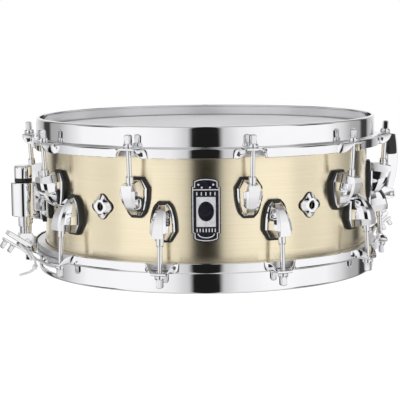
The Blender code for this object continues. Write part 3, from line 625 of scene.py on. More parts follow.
def sheet_outline(centre, thickness, edge):
    """Offset a smooth 2-D line to both sides, with rounded ends, into one closed outline."""
    points = [Vector(point) for point in centre]
    half = thickness / 2
    left = []
    right = []
    last = len(points) - 1
    for i, point in enumerate(points):
        along = (points[min(last, i + 1)] - points[max(0, i - 1)]).normalized()
        normal = Vector((-along.y, along.x))
        if i == 0:
            left.append(point + along * edge + normal * half)
            right.append(point + along * edge - normal * half)
        elif i == last:
            left.append(point - along * edge + normal * half)
            right.append(point - along * edge - normal * half)
        else:
            left.append(point + normal * half)
            right.append(point - normal * half)
    caps = []
    for point, other in ((points[-1], points[-2]), (points[0], points[1])):
        outward = (point - other).normalized()
        normal = Vector((-outward.y, outward.x))
        cap = []
        for side in (1, -1):
            arc = [(0.30, 0.70), (0.0, 1.0)] if side == 1 else [(0.0, 1.0), (0.30, 0.70)]
            for back, up in arc:
                cap.append(point - outward * edge * back + normal * side * (half - edge * up))
        caps.append(cap)
    return left + caps[0] + right[::-1] + caps[1]


def blend_weight(value, low, high):
    share = min(1.0, max(0.0, (value - low) / (high - low)))
    return share * share * (3 - 2 * share)


def hoop_section(offset, gate):
    """The pressed sheet at an angle from its nearest ear, as a closed outline of (radius, depth)."""
    arch = blend_weight(abs(offset), EAR_FLAT_ANGLE, EAR_ARCH_ANGLE)
    bend = 0.0 if gate else arch * math.pi / 2
    outer_run = HOOP_GATE_RUN if gate else HOOP_SKIRT_RUN
    outer_angle = GATE_BLEND_ANGLE if gate else EAR_ARCH_ANGLE
    run = HOOP_EAR_RUN + (outer_run - HOOP_EAR_RUN) * blend_weight(abs(offset), EAR_FLAT_ANGLE, outer_angle)
    half = HOOP_SHEET / 2
    upper = [(HOOP_LIP_RADIUS, half), (HOOP_WALL_RADIUS, half), (HOOP_WALL_RADIUS, HOOP_FLANGE_DEPTH),
             (HOOP_BEND_RADIUS, HOOP_FLANGE_DEPTH)]
    centre = rounded(upper, [0.0, 0.0014, 0.0021, 0.0], steps=6)
    steps = 6
    last = Vector(upper[-1])
    for k in range(1, steps + 1):
        angle = bend * k / steps
        if bend < 1e-3:
            point = last + Vector((HOOP_BEND_CHORD * k / steps, 0.0))
        else:
            radius = 0.5 * HOOP_BEND_CHORD / math.sin(bend / 2)
            point = last + Vector((radius * math.sin(angle), radius * (1 - math.cos(angle))))
        centre.append(point)
    turn = centre[-1]
    for share in (0.5, 1.0):
        centre.append(turn + Vector((math.cos(bend), math.sin(bend))) * run * share)
    return sheet_outline(centre, HOOP_SHEET, 0.00045)


def ear_offsets():
    """Angles from an ear's middle, close together where the sheet twists."""
    one_side = [0.4 * i for i in range(1, 5)]
    one_side += [1.6 + 0.26 * i for i in range(1, 17)]
    one_side += [5.76 + (18.0 - 5.76) * i / 11 for i in range(1, 12)]
    return [-angle for angle in reversed(one_side[:-1])] + [0.0] + one_side


def hoop_mesh(name, gate_centres=()):
    """A hoop with its rim at z = 0 and its body below, first ear at the top lugs' first angle."""
    rings = []
    for lug in range(LUGS_PER_SIDE):
        ear_angle = TOP_FIRST_ANGLE + lug * PITCH
        for offset in ear_offsets():
            angle = ear_angle + offset
            misses = [abs((angle - centre + 180) % 360 - 180) for centre in gate_centres]
            gate = any(miss < PITCH / 2 - 0.01 for miss in misses)
            rings.append([polar(radius, angle, -depth) for radius, depth in hoop_section(offset, gate)])
    return loft(name, rings, closed=True, sharp=40.0)


def rod_line(height):
    return ROD_MOUTH_RADIUS + (height - ROD_MOUTH_HEIGHT) * math.tan(ROD_TILT)


def hole_matrices(first_angle, up):
    ear_height = DRUM_HEIGHT - HOOP_FLANGE_DEPTH
    height = ear_height if up else DRUM_HEIGHT - ear_height
    tilt = ROD_TILT if up else math.pi - ROD_TILT
    return [place_matrix(polar(rod_line(ear_height), first_angle + i * PITCH, height),
                         (0.0, tilt, math.radians(first_angle + i * PITCH))) for i in range(LUGS_PER_SIDE)]


def gate_cutter(centre_angle):
    """A curved block with rounded corners that cuts the cord gate through the hoop's wall."""
    outline = rounded([(-GATE_HALF_ANGLE, GATE_LOW * 1000), (GATE_HALF_ANGLE, GATE_LOW * 1000),
                       (GATE_HALF_ANGLE, GATE_HIGH * 1000), (-GATE_HALF_ANGLE, GATE_HIGH * 1000)],
                      2.2, closed=True, steps=5)
    dense = []
    for i, point in enumerate(outline):
        following = outline[(i + 1) % len(outline)]
        pieces = max(1, int((following - point).length / 2.0))
        dense += [point.lerp(following, k / pieces) for k in range(pieces)]
    bm = bmesh.new()
    face = bm.faces.new([bm.verts.new((point.x, 0.0, point.y)) for point in dense])
    for angle in range(-12, 13, 2):
        geometry = bm.verts[:] + bm.edges[:] + bm.faces[:]
        bmesh.ops.bisect_plane(bm, geom=geometry, plane_co=(angle, 0, 0), plane_no=(1, 0, 0))
    skin = bmesh.ops.extrude_face_region(bm, geom=bm.faces[:])
    outer = [item for item in skin["geom"] if isinstance(item, bmesh.types.BMVert)]
    for vert in outer:
        vert.co.y = 1.0
    for vert in bm.verts:
        radius = 0.178 + 0.012 * vert.co.y
        vert.co = polar(radius, centre_angle + vert.co.x, vert.co.z / 1000)
    return mesh_of("gate_cutter", bm)


def make_hoops():
    drill = turned("ear_drill", [(HOLE_RADIUS, -DRILL_REACH), (HOLE_RADIUS, DRILL_REACH)], 24)
    drills = [drill] * LUGS_PER_SIDE
    lift = Matrix.Translation((0.0, 0.0, DRUM_HEIGHT))
    batter = moved(hoop_mesh("batter_hoop_visual"), lift)
    batter = combined(batter, drills, 'DIFFERENCE', hole_matrices(TOP_FIRST_ANGLE, True))
    show(batter, "pressed_batter_hoop", chrome, "root", ["batter_hoop"])
    first_gate = BOTTOM_FIRST_ANGLE - PITCH / 2
    gates = [first_gate, first_gate + 180]
    snare = hoop_mesh("snare_hoop_visual", [-angle for angle in gates])
    snare = moved(snare, Matrix.Rotation(math.pi, 4, 'X'))
    cutters = [gate_cutter(angle) for angle in gates]
    still = [Matrix.Identity(4)] * len(gates)
    snare = combined(snare, drills + cutters, 'DIFFERENCE', hole_matrices(BOTTOM_FIRST_ANGLE, False) + still)
    show(snare, "pressed_snare_hoop", chrome, "root", ["snare_hoop"])


def make_heads():
    """Each head is a film with a drawn collar, set in a flesh hoop."""
    seat = 0.15265
    top = seat + 0.0005
    collar = [(0.0, top), (0.1716, top), (0.1752, top - 0.0001), (0.1766, top - 0.0004),
              (0.17725, top - 0.0012), (0.17745, top - 0.0030), (0.17745, 0.1420), (0.1784, 0.1414),
              (0.1784, 0.1408), (0.1770, 0.1405), (0.1770, seat - 0.0010), (0.1764, seat), (0.0, seat)]
    ring = rounded([(0.1770, 0.1346), (0.1858, 0.1346), (0.1858, 0.1416), (0.1770, 0.1416)], 0.0009, True)
    for name, body_node, flip in (("batter", "batter_head", False), ("snare", "snare_head", True)):
        disc_profile = [(r, DRUM_HEIGHT - z) if flip else (r, z) for r, z in collar]
        disc = film_mesh(f"{name}_film", disc_profile, 256)
        show(disc, f"{name}_head_film", film, "root", [body_node])
        outline = [(r, DRUM_HEIGHT - z) if flip else (r, z) for r, z in ring]
        hoop = turned_ring(f"{name}_flesh_hoop_mesh", outline, 192)
        show(hoop, f"{name}_flesh_hoop", aluminium, "root")


def film_mesh(name, profile, segments):
    """Turn an open profile whose two ends lie on the axis into a closed film."""
    bm = bmesh.new()
    first = bm.verts.new((0.0, 0.0, profile[0][1]))
    last = bm.verts.new((0.0, 0.0, profile[-1][1]))
    loops = [[bm.verts.new(point) for point in circle(r, z, segments)] for r, z in profile[1:-1]]
    for i in range(segments):
        j = (i + 1) % segments
        bm.faces.new((first, loops[0][i], loops[0][j]))
        bm.faces.new((last, loops[-1][j], loops[-1][i]))
        for near, far in zip(loops, loops[1:]):
            bm.faces.new((near[i], near[j], far[j], far[i]))
    return mesh_of(name, bm)


# ---------------------------------------------------------------- lugs and tension rods

def spline(values, t):
    """Catmull-Rom through equally spaced tuples."""
    count = len(values)
    i = min(int(t), count - 2)
    f = t - i
    picks = [values[max(0, i - 1)], values[i], values[i + 1], values[min(count - 1, i + 2)]]
    if i == 0:
        picks[0] = tuple(2 * a - b for a, b in zip(values[0], values[1]))
    if i == count - 2:
        picks[3] = tuple(2 * a - b for a, b in zip(values[-1], values[-2]))
    return tuple(0.5 * (2 * b + (c - a) * f + (2 * a - 5 * b + 4 * c - d) * f ** 2
                        + (3 * b - a - 3 * c + d) * f ** 3) for a, b, c, d in zip(*picks))


def lug_rings():
    """Sections of the lug from its mouth to its far end: straight at the corner, then curved."""
    flat = [tuple(base) + tuple(ridge) + tuple(front) for base, ridge, front in LUG_STATIONS]
    samples = [flat[0]] + [spline(flat[1:], i / 5) for i in range(0, 16)]
    rings = []
    for base_half, base_z, ridge_half, ridge_x, ridge_z, front_half, front_x, front_z in samples:
        middle = [(ridge_x + front_x) / 2, (ridge_half + front_half) / 2, (ridge_z + front_z) / 2]
        bulge = 0.0007 if ridge_half - front_half > 0.0008 else 0.0
        wide = base_half > ridge_half + 0.0004
        foot = 0.0013 * base_half / 0.0120 if wide else 0.0002
        share = foot / (ridge_x - 0.0018)
        flank = [(0.0018 + foot + ridge_x) / 2, (base_half - 0.9 * foot + ridge_half) / 2 + 0.35 * foot
                 + (0.0005 * base_half / 0.0120 if wide else 0.0), (base_z + ridge_z) / 2]
        half = [(0.0, base_half, base_z), (0.0018, base_half, base_z),
                (0.0018 + foot, base_half - 0.9 * foot, base_z + (ridge_z - base_z) * share),
                flank, (ridge_x, ridge_half, ridge_z),
                (middle[0] + bulge * 0.7, middle[1] + bulge * 0.7, middle[2]), (front_x, front_half, front_z)]
        rings.append(half + [(x, -y, z) for x, y, z in reversed(half)])
    return rings


def lug_mesh():
    mesh = bevelled(loft("lug_casting", lug_rings(), sharp=60.0), 0.00045, 3, 16.0)
    mouth = Vector((ROD_MOUTH_RADIUS - LUG_BACK_RADIUS, 0.0, ROD_MOUTH_HEIGHT - LUG_CENTRE_HEIGHT))
    drill = turned("lug_drill", [(0.0041, -0.0150), (0.0041, 0.0120)], 40)
    return combined(mesh, [drill], 'DIFFERENCE', [place_matrix(mouth, (0.0, ROD_TILT, 0.0))])


def gasket_outline():
    """The lug's base outline, grown by the gasket's margin, as (y, z) points."""
    base = [(base[0], base[1]) for base, _, _ in LUG_STATIONS]
    half = [base[0]] + [spline(base[1:], i / 3) for i in range(0, 10)]
    points = [Vector(point) for point in half + [(-y, z) for y, z in reversed(half)]]
    grown = []
    for i, point in enumerate(points):
        before = (point - points[i - 1]).normalized()
        after = (points[(i + 1) % len(points)] - point).normalized()
        along = (before + after).normalized()
        normal = Vector((along.y, -along.x))
        if normal.dot(point) < 0:
            normal = -normal
        grown.append(point + normal * 0.0023 / max(0.6, along.dot(before)))
    return rounded(grown, 0.0022, closed=True, steps=4)


def gasket_mesh():
    """Black gasket between lug and shell: its back follows the shell and its front is flat."""
    outline = gasket_outline()
    rings = []
    for share, front in ((1.0, None), (1.0, 0.0001), (0.988, 0.0006), (0.955, 0.0008)):
        ring = []
        for y, z in outline:
            x = math.sqrt((SHELL_RADIUS + 0.00005) ** 2 - y * y) - LUG_BACK_RADIUS if front is None else front
            ring.append((x, y * share, z * share))
        rings.append(ring)
    return loft("lug_gasket", rings)


def rounded_square(half, corner, height, points):
    """A square with round corners, with as many points as the circles that it joins."""
    ring = []
    for i in range(points):
        angle = 2 * math.pi * (i + 0.5) / points
        c, s = math.cos(angle), math.sin(angle)
        power = 2.0 / corner
        ring.append((half * math.copysign(abs(c) ** power, c),
                     half * math.copysign(abs(s) ** power, s), height))
    return ring


def rod_mesh():
    """A tension rod along Z, origin at the lug's mouth: shank, flange and square key head."""
    points = 40
    round_part = [(0.0017, -0.0160), (ROD_RADIUS, -0.0152), (ROD_RADIUS, 0.0366)]
    round_part += rounded([(ROD_RADIUS, 0.0366), (0.0053, 0.0376), (0.0053, 0.0392), (0.0047, 0.0408),
                           (0.0040, 0.0410)], 0.0005, steps=4)[1:]
    rings = [circle(radius, height, points) for radius, height in round_part]
    for half, height, corner in ((0.0031, 0.0411, 5.0), (0.0032, 0.0415, 7.0), (0.0032, 0.0478, 7.0),
                                 (0.0031, 0.0484, 6.5), (0.0028, 0.0490, 5.5), (0.0022, 0.0495, 4.0),
                                 (0.0012, 0.04985, 3.0), (0.0004, 0.0500, 2.0)):
        rings.append(rounded_square(half, corner, height, points))
    return loft("tension_rod_visual", rings, sharp=42.0)


def nut_mesh():
    profile = rounded([(0.0030, -0.0060), (0.00375, -0.0060), (0.00375, 0.0074), (0.0034, 0.0088),
                       (0.00265, 0.0088)], 0.0006, steps=4)
    return turned_ring("swivel_nut", profile + [(0.00265, -0.0060)], 40)


def washer_mesh():
    outline = rounded([(0.0027, 0.03655), (0.0056, 0.03655), (0.0056, 0.0374), (0.0027, 0.0374)],
                      0.0003, closed=True, steps=3)
    return turned_ring("rod_washer", outline, 40)


def make_lugs_and_rods():
    lug, gasket, rod, nut, washer = lug_mesh(), gasket_mesh(), rod_mesh(), nut_mesh(), washer_mesh()
    for side, first, up in (("top", TOP_FIRST_ANGLE, True), ("bottom", BOTTOM_FIRST_ANGLE, False)):
        for number in range(LUGS_PER_SIDE):
            degrees = first + number * PITCH
            angle = math.radians(degrees)
            tag = f"{side}_{number:02d}"
            lug_height = LUG_CENTRE_HEIGHT if up else DRUM_HEIGHT - LUG_CENTRE_HEIGHT
            mouth_height = ROD_MOUTH_HEIGHT if up else DRUM_HEIGHT - ROD_MOUTH_HEIGHT
            lug_place = place_matrix(polar(LUG_BACK_RADIUS, degrees, lug_height),
                                     (0.0 if up else math.pi, 0.0, angle))
            rod_place = place_matrix(polar(ROD_MOUTH_RADIUS, degrees, mouth_height),
                                     (0.0, ROD_TILT if up else math.pi - ROD_TILT, angle))
            show(lug, f"lug_casting_{tag}", chrome, "root", [f"lug_{tag}"], lug_place)
            show(gasket, f"lug_gasket_{tag}", gasket_rubber, "root", (), lug_place)
            show(nut, f"swivel_nut_{tag}", steel, "root", (), rod_place)
            show(washer, f"rod_washer_{tag}", steel, "root", (), rod_place)
            show(rod, f"rod_{tag}", steel, f"tension_rod_{tag}",
                 [f"tension_rod_{tag}"], rod_place)


# ---------------------------------------------------------------- badge and vents

BADGE_BACK = 0.1766
BADGE_HALF_WIDTH = 0.0144
BADGE_NECK = 0.01245
BADGE_STRAIGHT = 0.0230
BADGE_HALF_HEIGHT = 0.0318


def badge_outline(inset):
    """The plate's outline, moved in by a distance: a straight plate with domed ends."""
    wide = BADGE_HALF_WIDTH - inset
    neck = BADGE_NECK - inset
    top = BADGE_HALF_HEIGHT - inset
    straight = BADGE_STRAIGHT
    shoulder = straight + 0.0040 - 0.3 * inset
    upper = [(wide, straight - inset * 0.4), (neck, straight - inset * 0.4 + 0.0002)]
    for i in range(-8, 9):
        s = -neck * i / 8
        dome = math.sqrt(max(0.0, 1 - 0.86 * (s / neck) ** 2))
        upper.append((s, shoulder + (top - shoulder) * dome))
    upper += [(-neck, straight - inset * 0.4 + 0.0002), (-wide, straight - inset * 0.4)]
    return upper + [(-s, -z) for s, z in upper]


def bent_plate(name, outline, low, high, hole=None):
    """A thin plate on the shell between two radii, from an outline of (across, height) points."""
    bm = bmesh.new()
    if hole is None:
        bm.faces.new([bm.verts.new((s, 0.0, z)) for s, z in outline])
        for i in range(-6, 7):
            geometry = bm.verts[:] + bm.edges[:] + bm.faces[:]
            bmesh.ops.bisect_plane(bm, geom=geometry, plane_co=(i * 0.0023, 0, 0), plane_no=(1, 0, 0))
    else:
        outer = [bm.verts.new((s, 0.0, z)) for s, z in outline]
        inner = [bm.verts.new((s, 0.0, z)) for s, z in hole]
        for i in range(len(outer)):
            j = (i + 1) % len(outer)
            bm.faces.new((outer[i], outer[j], inner[j], inner[i]))
    skin = bmesh.ops.extrude_face_region(bm, geom=bm.faces[:])
    raised = [item for item in skin["geom"] if isinstance(item, bmesh.types.BMVert)]
    for vert in raised:
        vert.co.y = 1.0
    for vert in bm.verts:
        radius = low + (high - low) * vert.co.y
        degrees = BADGE_ANGLE + math.degrees(vert.co.x / BADGE_BACK)
        vert.co = polar(radius, degrees, DRUM_HEIGHT / 2 + vert.co.z)
    return mesh_of(name, bm)


def rectangle(s0, s1, z0, z1):
    return [(s0, z0), (s1, z0), (s1, z1), (s0, z1)]


def ellipse(centre, half_width, half_height, points, sweep=2 * math.pi):
    """Points round an ellipse from its +across side, or along part of it."""
    return [(centre[0] + half_width * math.cos(sweep * i / points),
             centre[1] + half_height * math.sin(sweep * i / points))
            for i in range(points if sweep == 2 * math.pi else points + 1)]


def joined(name, meshes):
    bm = bmesh.new()
    for mesh in meshes:
        bm.from_mesh(mesh)
    result = bpy.data.meshes.new(name)
    bm.to_mesh(result)
    bm.free()
    result.shade_smooth()
    result.set_sharp_from_angle(angle=math.radians(35))
    return result


def make_badge():
    """Dark plate with a silver border, a silver panel, a plain disc and rows of plain bars."""
    face = BADGE_BACK + 0.0012
    plate = bent_plate("badge_plate_mesh", badge_outline(0.0), SHELL_RADIUS + 0.0001, face)
    plate = bevelled(plate, 0.0003, 2, 50.0)
    show(plate, "badge_plate", enamel, "root", ["badge"])
    low = face - 0.0002
    raised = face + 0.00025
    parts = [bent_plate("border", badge_outline(0.0011), low, raised, badge_outline(0.0020))]
    wide = BADGE_HALF_WIDTH - 0.0016
    parts.append(bent_plate("upper_line", rectangle(-wide, wide, 0.0196, 0.0206), low, raised))
    parts.append(bent_plate("panel", rectangle(-0.0094, 0.0094, -0.0165, 0.0130), low, raised))
    for count, foot, head in ((5, 0.0145, 0.0178), (7, -0.0217, -0.0182)):
        for i in range(count):
            middle = 0.0088 * (2 * i / (count - 1) - 1)
            bar = rectangle(middle - 0.00055, middle + 0.00055, foot, head)
            parts.append(bent_plate("bar", bar, low, raised))
    outer_arc = ellipse((0.0, -0.0232), 0.0085, -0.0046, 12, math.pi)
    inner_arc = ellipse((0.0, -0.0232), 0.0074, -0.0036, 12, math.pi)
    parts.append(bent_plate("lower_arc", outer_arc + inner_arc[::-1], low, raised))
    for centre in ((-0.0072, 0.0251), (0.0072, 0.0251), (-0.0040, 0.0223), (0.0040, 0.0223)):
        parts.append(bent_plate("dot", ellipse(centre, 0.0010, 0.0010, 12), low, raised))
    show(joined("badge_inlay_mesh", parts), "badge_inlay", silver, "root")
    disc = ellipse((0.0, -0.0012), 0.0078, 0.0098, 40)
    show(bent_plate("badge_disc_mesh", disc, raised - 0.0002, raised + 0.0002), "badge_disc", enamel,
         "root")


def lobed_ring(radius, depth, lobe, points=96):
    ring = []
    for i in range(points):
        angle = 2 * math.pi * i / points
        reach = radius * (1 + lobe * math.cos(4 * angle))
        ring.append((depth, reach * math.cos(angle), reach * math.sin(angle)))
    return ring


def make_vents():
    back = 0.1769
    sections = ((0.0108, 0.0, 0.12), (0.0111, 0.0003, 0.12), (0.0111, 0.0012, 0.12), (0.0109, 0.0016, 0.12),
                (0.0076, 0.0037, 0.10), (0.0071, 0.0041, 0.08), (0.0066, 0.0042, 0.04),
                (0.0047, 0.0042, 0.0), (0.0041, 0.0040, 0.0), (0.0037, 0.0035, 0.0),
                (0.0036, 0.0026, 0.0), (0.0036, 0.0, 0.0))
    rosette = loft("vent_rosette", [lobed_ring(*section) for section in sections], closed=True, sharp=30.0)
    pad = loft("vent_gasket", [lobed_ring(*section) for section in (
        (0.0116, -0.0006, 0.115), (0.0118, -0.0001, 0.115), (0.0116, 0.0004, 0.115),
        (0.0110, 0.0006, 0.11), (0.0038, 0.0, 0.0), (0.0038, -0.0006, 0.0))], closed=True)
    for number, degrees in enumerate(VENT_ANGLES, start=1):
        matrix = place_matrix(polar(back, degrees, DRUM_HEIGHT / 2), (0.0, 0.0, math.radians(degrees)))
        show(rosette, f"vent_rosette_{number}", chrome, "root", [f"vent_{number}"], matrix)
        show(pad, f"vent_gasket_{number}", gasket_rubber, "root", (), matrix)


# ---------------------------------------------------------------- butt and throw-off

def clamp_axes():
    along = Vector((-math.cos(CLAMP_SLOPE), -math.sin(CLAMP_SLOPE)))
    out = Vector((math.sin(CLAMP_SLOPE), -math.cos(CLAMP_SLOPE)))
    return along, out


def clamp_origin(tip_radius, height):
    along, out = clamp_axes()
    depth = CORD_GAP + CLAMP_PLATE_THICKNESS + SCREW_LENGTH
    tip = along * (SCREW_STATIONS[0] - SCREW_HALF) + out * depth
    return Vector((tip_radius - tip.x, height))


def clamp_box(origin, start, end, near, far):
    along, out = clamp_axes()
    corners = ((start, near), (end, near), (end, far), (start, far))
    return [tuple(origin + along * station + out * depth) for station, depth in corners]


def facing(outline, sign):
    return [(sign * radius, height) for radius, height in outline]


def key_screw(length):
    """A square-headed key screw along Z with its tip at z = length."""
    points = 32
    rings = [circle(0.0038, -0.0002, points), circle(0.0038, 0.0006, points), circle(0.0034, 0.0010, points)]
    for half, height, corner in ((0.0024, 0.0011, 6.0), (0.0025, 0.0014, 7.0), (0.0025, length - 0.0012, 7.0),
                                 (0.0023, length - 0.0005, 5.0), (0.0017, length - 0.0001, 4.0),
                                 (0.0008, length, 3.0)):
        rings.append(rounded_square(half, corner, height, points))
    return loft("key_screw", rings, sharp=42.0)


def make_clamp(prefix, origin, sign, body, plate_node):
    """The pressure plate and its two key screws."""
    depth = CORD_GAP + CLAMP_PLATE_THICKNESS
    outline = clamp_box(origin, 0.0, CLAMP_BAR_LENGTH, CORD_GAP, depth)
    mesh = bevelled(prism(f"{prefix}_plate_mesh", facing(outline, sign), -CLAMP_HALF_WIDTH, CLAMP_HALF_WIDTH),
                    0.0006)
    show(mesh, f"{prefix}_pressure_plate", chrome, body, [plate_node])
    along, out = clamp_axes()
    screw = key_screw(SCREW_LENGTH)
    for number, station in enumerate(SCREW_STATIONS):
        foot = origin + along * station + out * depth
        location = Vector((sign * foot.x, 0.0, foot.y))
        axis = Vector((sign * out.x, 0.0, out.y))
        turn = axis.to_track_quat('Z', 'Y').to_matrix().to_4x4()
        show(screw, f"{prefix}_key_screw_{number}", steel, body, (),
             Matrix.Translation(location) @ turn)


def make_carrier(prefix, stem_radius, origin, sign, profile, body, stem_node):
    """The clamp's carrier: stem, knuckle with its pivot and the sloping bar."""
    low = profile[0][1]
    stem = turned(f"{prefix}_stem_mesh", rounded(profile, 0.0005, steps=3), 64)
    show(moved(stem, Matrix.Translation((sign * stem_radius, 0.0, 0.0))), f"{prefix}_stem_visual", steel,
         body, [stem_node])
    knuckle = [(stem_radius - 0.0095, low - 0.0100), (stem_radius + 0.0010, low - 0.0100),
               (stem_radius + 0.0075, low - 0.0050), (stem_radius + 0.0060, low + 0.0030),
               (stem_radius - 0.0070, low + 0.0030), (stem_radius - 0.0095, low)]
    outline = rounded(facing(knuckle, sign), 0.0015, closed=True, steps=4)
    mesh = bevelled(prism(f"{prefix}_knuckle_mesh", outline, -0.0062, 0.0062), 0.0007)
    show(mesh, f"{prefix}_knuckle", chrome, body)
    bar = clamp_box(origin, 0.0, CLAMP_BAR_LENGTH, -CLAMP_BAR_THICKNESS, 0.0)
    mesh = bevelled(prism(f"{prefix}_bar_mesh", facing(bar, sign), -CLAMP_HALF_WIDTH, CLAMP_HALF_WIDTH),
                    0.0008)
    show(mesh, f"{prefix}_clamp_bar", chrome, body)
    pin = turned(f"{prefix}_pin_mesh", rounded(
        [(0.0022, -0.0068), (0.0031, -0.0068), (0.0031, 0.0068), (0.0022, 0.0068)], 0.0004, steps=3), 32)
    location = (sign * (stem_radius - 0.0018), 0.0, low - 0.0058)
    show(pin, f"{prefix}_knuckle_pin", steel, body, (),
         place_matrix(Vector(location), (math.pi / 2, 0.0, 0.0)))


def make_mount(prefix, x, node_name, barrel, corner, bore, neck_half, neck_heights, plate_heights):
    """A bored barrel on a neck and a plate, with a black gasket between the plate and the shell."""
    sign = math.copysign(1.0, x)
    axis = Matrix.Translation((x, 0.0, 0.0))
    body = moved(turned(f"{prefix}_body_mesh", rounded(barrel, corner, steps=5), 96), axis)
    bore_radius, bore_top = bore
    drill = turned(f"{prefix}_bore", [(bore_radius, 0.0580), (bore_radius, bore_top)], 48)
    body = combined(body, [drill], 'DIFFERENCE', [axis])
    show(body, f"{prefix}_barrel", chrome, "root", [node_name])
    reach = sorted((sign * (PLATE_BACK + 0.001), sign * (abs(x) - 0.010)))
    neck = bevelled(slab(reach, (-neck_half, neck_half), neck_heights), 0.0010)
    show(neck, f"{prefix}_neck", chrome, "root")
    depth = sorted((sign * PLATE_BACK, sign * (PLATE_BACK + 0.0030)))
    plate = bevelled(slab(depth, (-PLATE_HALF_WIDTH, PLATE_HALF_WIDTH), plate_heights), 0.0010)
    show(plate, f"{prefix}_plate", chrome, "root")
    low, high = plate_heights
    make_plate_gasket(f"{prefix}_gasket", sign, PLATE_HALF_WIDTH + GASKET_MARGIN,
                      low - GASKET_MARGIN, high + GASKET_MARGIN)


def make_butt():
    x = -BUTT_RADIUS
    barrel = [(0.0090, 0.0630), (HOUSING_RADIUS, 0.0630), (HOUSING_RADIUS, 0.0990), (0.0096, 0.0990)]
    make_mount("butt", x, "butt_housing", barrel, 0.0011, (0.0067, 0.0810), 0.0070, (0.0680, 0.0950),
               (0.0620, 0.1030))
    collar = turned("butt_collar_mesh", rounded(
        [(0.0080, 0.0993), (0.0092, 0.0993), (0.0092, 0.1031), (0.0080, 0.1031)], 0.0004, steps=3), 64)
    show(moved(collar, Matrix.Translation((x, 0.0, 0.0))), "butt_knob_ring", gasket_rubber, "butt_knob")
    knob = knob_mesh(0.1031, 0.1168)
    show(moved(knob, Matrix.Translation((x, 0.0, 0.0))), "butt_knob_cap", chrome, "butt_knob",
         ["butt_knob"])
    origin = clamp_origin(REACH, 0.0440)
    stem = [(0.0051, 0.0420), (0.0051, 0.0518), (0.0063, 0.0518), (0.0063, 0.0760)]
    make_carrier("butt", BUTT_RADIUS, origin, -1, stem, "butt_carrier", "butt_stem")
    make_clamp("butt", origin, -1, "butt_carrier", "butt_clamp_plate")


def knob_mesh(low, high):
    """A round knob with a chamfered, finely notched crown."""
    points = 144
    rings = []
    sections = ((0.0088, low, 0.0), (0.0093, low + 0.0005, 0.0), (0.0093, high - 0.0032, 0.0),
                (0.00925, high - 0.0020, 0.025), (0.0089, high - 0.0010, 0.045),
                (0.0084, high - 0.0003, 0.045), (0.0078, high, 0.02), (0.0020, high, 0.0))
    for radius, height, notch in sections:
        ring = []
        for i in range(points):
            angle = 2 * math.pi * i / points
            reach = radius * (1 - notch * (0.5 + 0.5 * math.cos(18 * angle)) ** 3)
            ring.append((reach * math.cos(angle), reach * math.sin(angle), height))
        rings.append(ring)
    return loft("butt_knob_mesh", rings)


def make_plate_gasket(name, sign, half_width, low, high):
    """A black pad between a mounting plate and the shell."""
    rings = []
    steps = 12
    for i in range(steps + 1):
        y = -half_width + 2 * half_width * i / steps
        inner = math.sqrt((SHELL_RADIUS + 0.00005) ** 2 - y * y)
        rings.append([(sign * inner, y, low), (sign * (PLATE_BACK - 0.0001), y, low),
                      (sign * (PLATE_BACK - 0.0001), y, high), (sign * inner, y, high)])
    mesh = bevelled(loft(f"{name}_mesh", rings), 0.0004, 2, 50.0)
    show(mesh, name, gasket_rubber, "root")


def lever_outer(height):
    span = (height - 0.1115) / (0.1115 - PIVOT_HEIGHT)
    return REACH - 0.0075 * span * span


def lever_inner(height):
    return lever_outer(height) - 0.0085 - 0.0045 * blend_weight(height, 0.078, 0.108)


def make_throw_off():
    x = THROW_OFF_RADIUS
    barrel = [(0.0080, 0.0640), (HOUSING_RADIUS, 0.0640), (HOUSING_RADIUS, 0.1040), (0.0080, 0.1040)]
    make_mount("throw_off", x, "strainer_housing", barrel, 0.0014, (0.0055, 0.0840), 0.0080, (0.0670, 0.1010),
               (0.0600, 0.1080))
    cheek = [(x + 0.0030, 0.0645), (PIVOT_RADIUS - 0.0020, 0.0618), (PIVOT_RADIUS + 0.0058, 0.0640),
             (PIVOT_RADIUS + 0.0060, 0.0678), (PIVOT_RADIUS + 0.0052, 0.0732),
             (PIVOT_RADIUS - 0.0030, 0.0754), (x + 0.0030, 0.0790)]
    outline = rounded(cheek, 0.0035, closed=True, steps=6)
    eye = turned("strainer_eye", [(0.0022, -0.0150), (0.0022, 0.0150)], 32)
    for number, (low, high) in enumerate(((-0.0081, -0.0053), (0.0053, 0.0081)), start=1):
        mesh = bevelled(prism(f"throw_off_cheek_mesh_{number}", outline, low, high), 0.0006)
        mesh = combined(mesh, [eye], 'DIFFERENCE', [place_matrix(Vector((PIVOT_RADIUS, 0.0, PIVOT_HEIGHT)),
                                                                 (math.pi / 2, 0.0, 0.0))])
        show(mesh, f"throw_off_cheek_{number}", chrome, "root")
    make_lever()
    origin = clamp_origin(0.2265, 0.0450)
    make_carrier("throw_off", x, origin, 1, [(0.0051, 0.0430), (0.0051, 0.0760)], "strainer_carrier",
                 "strainer_slide")
    make_clamp("throw_off", origin, 1, "strainer_carrier", "strainer_clamp_plate")


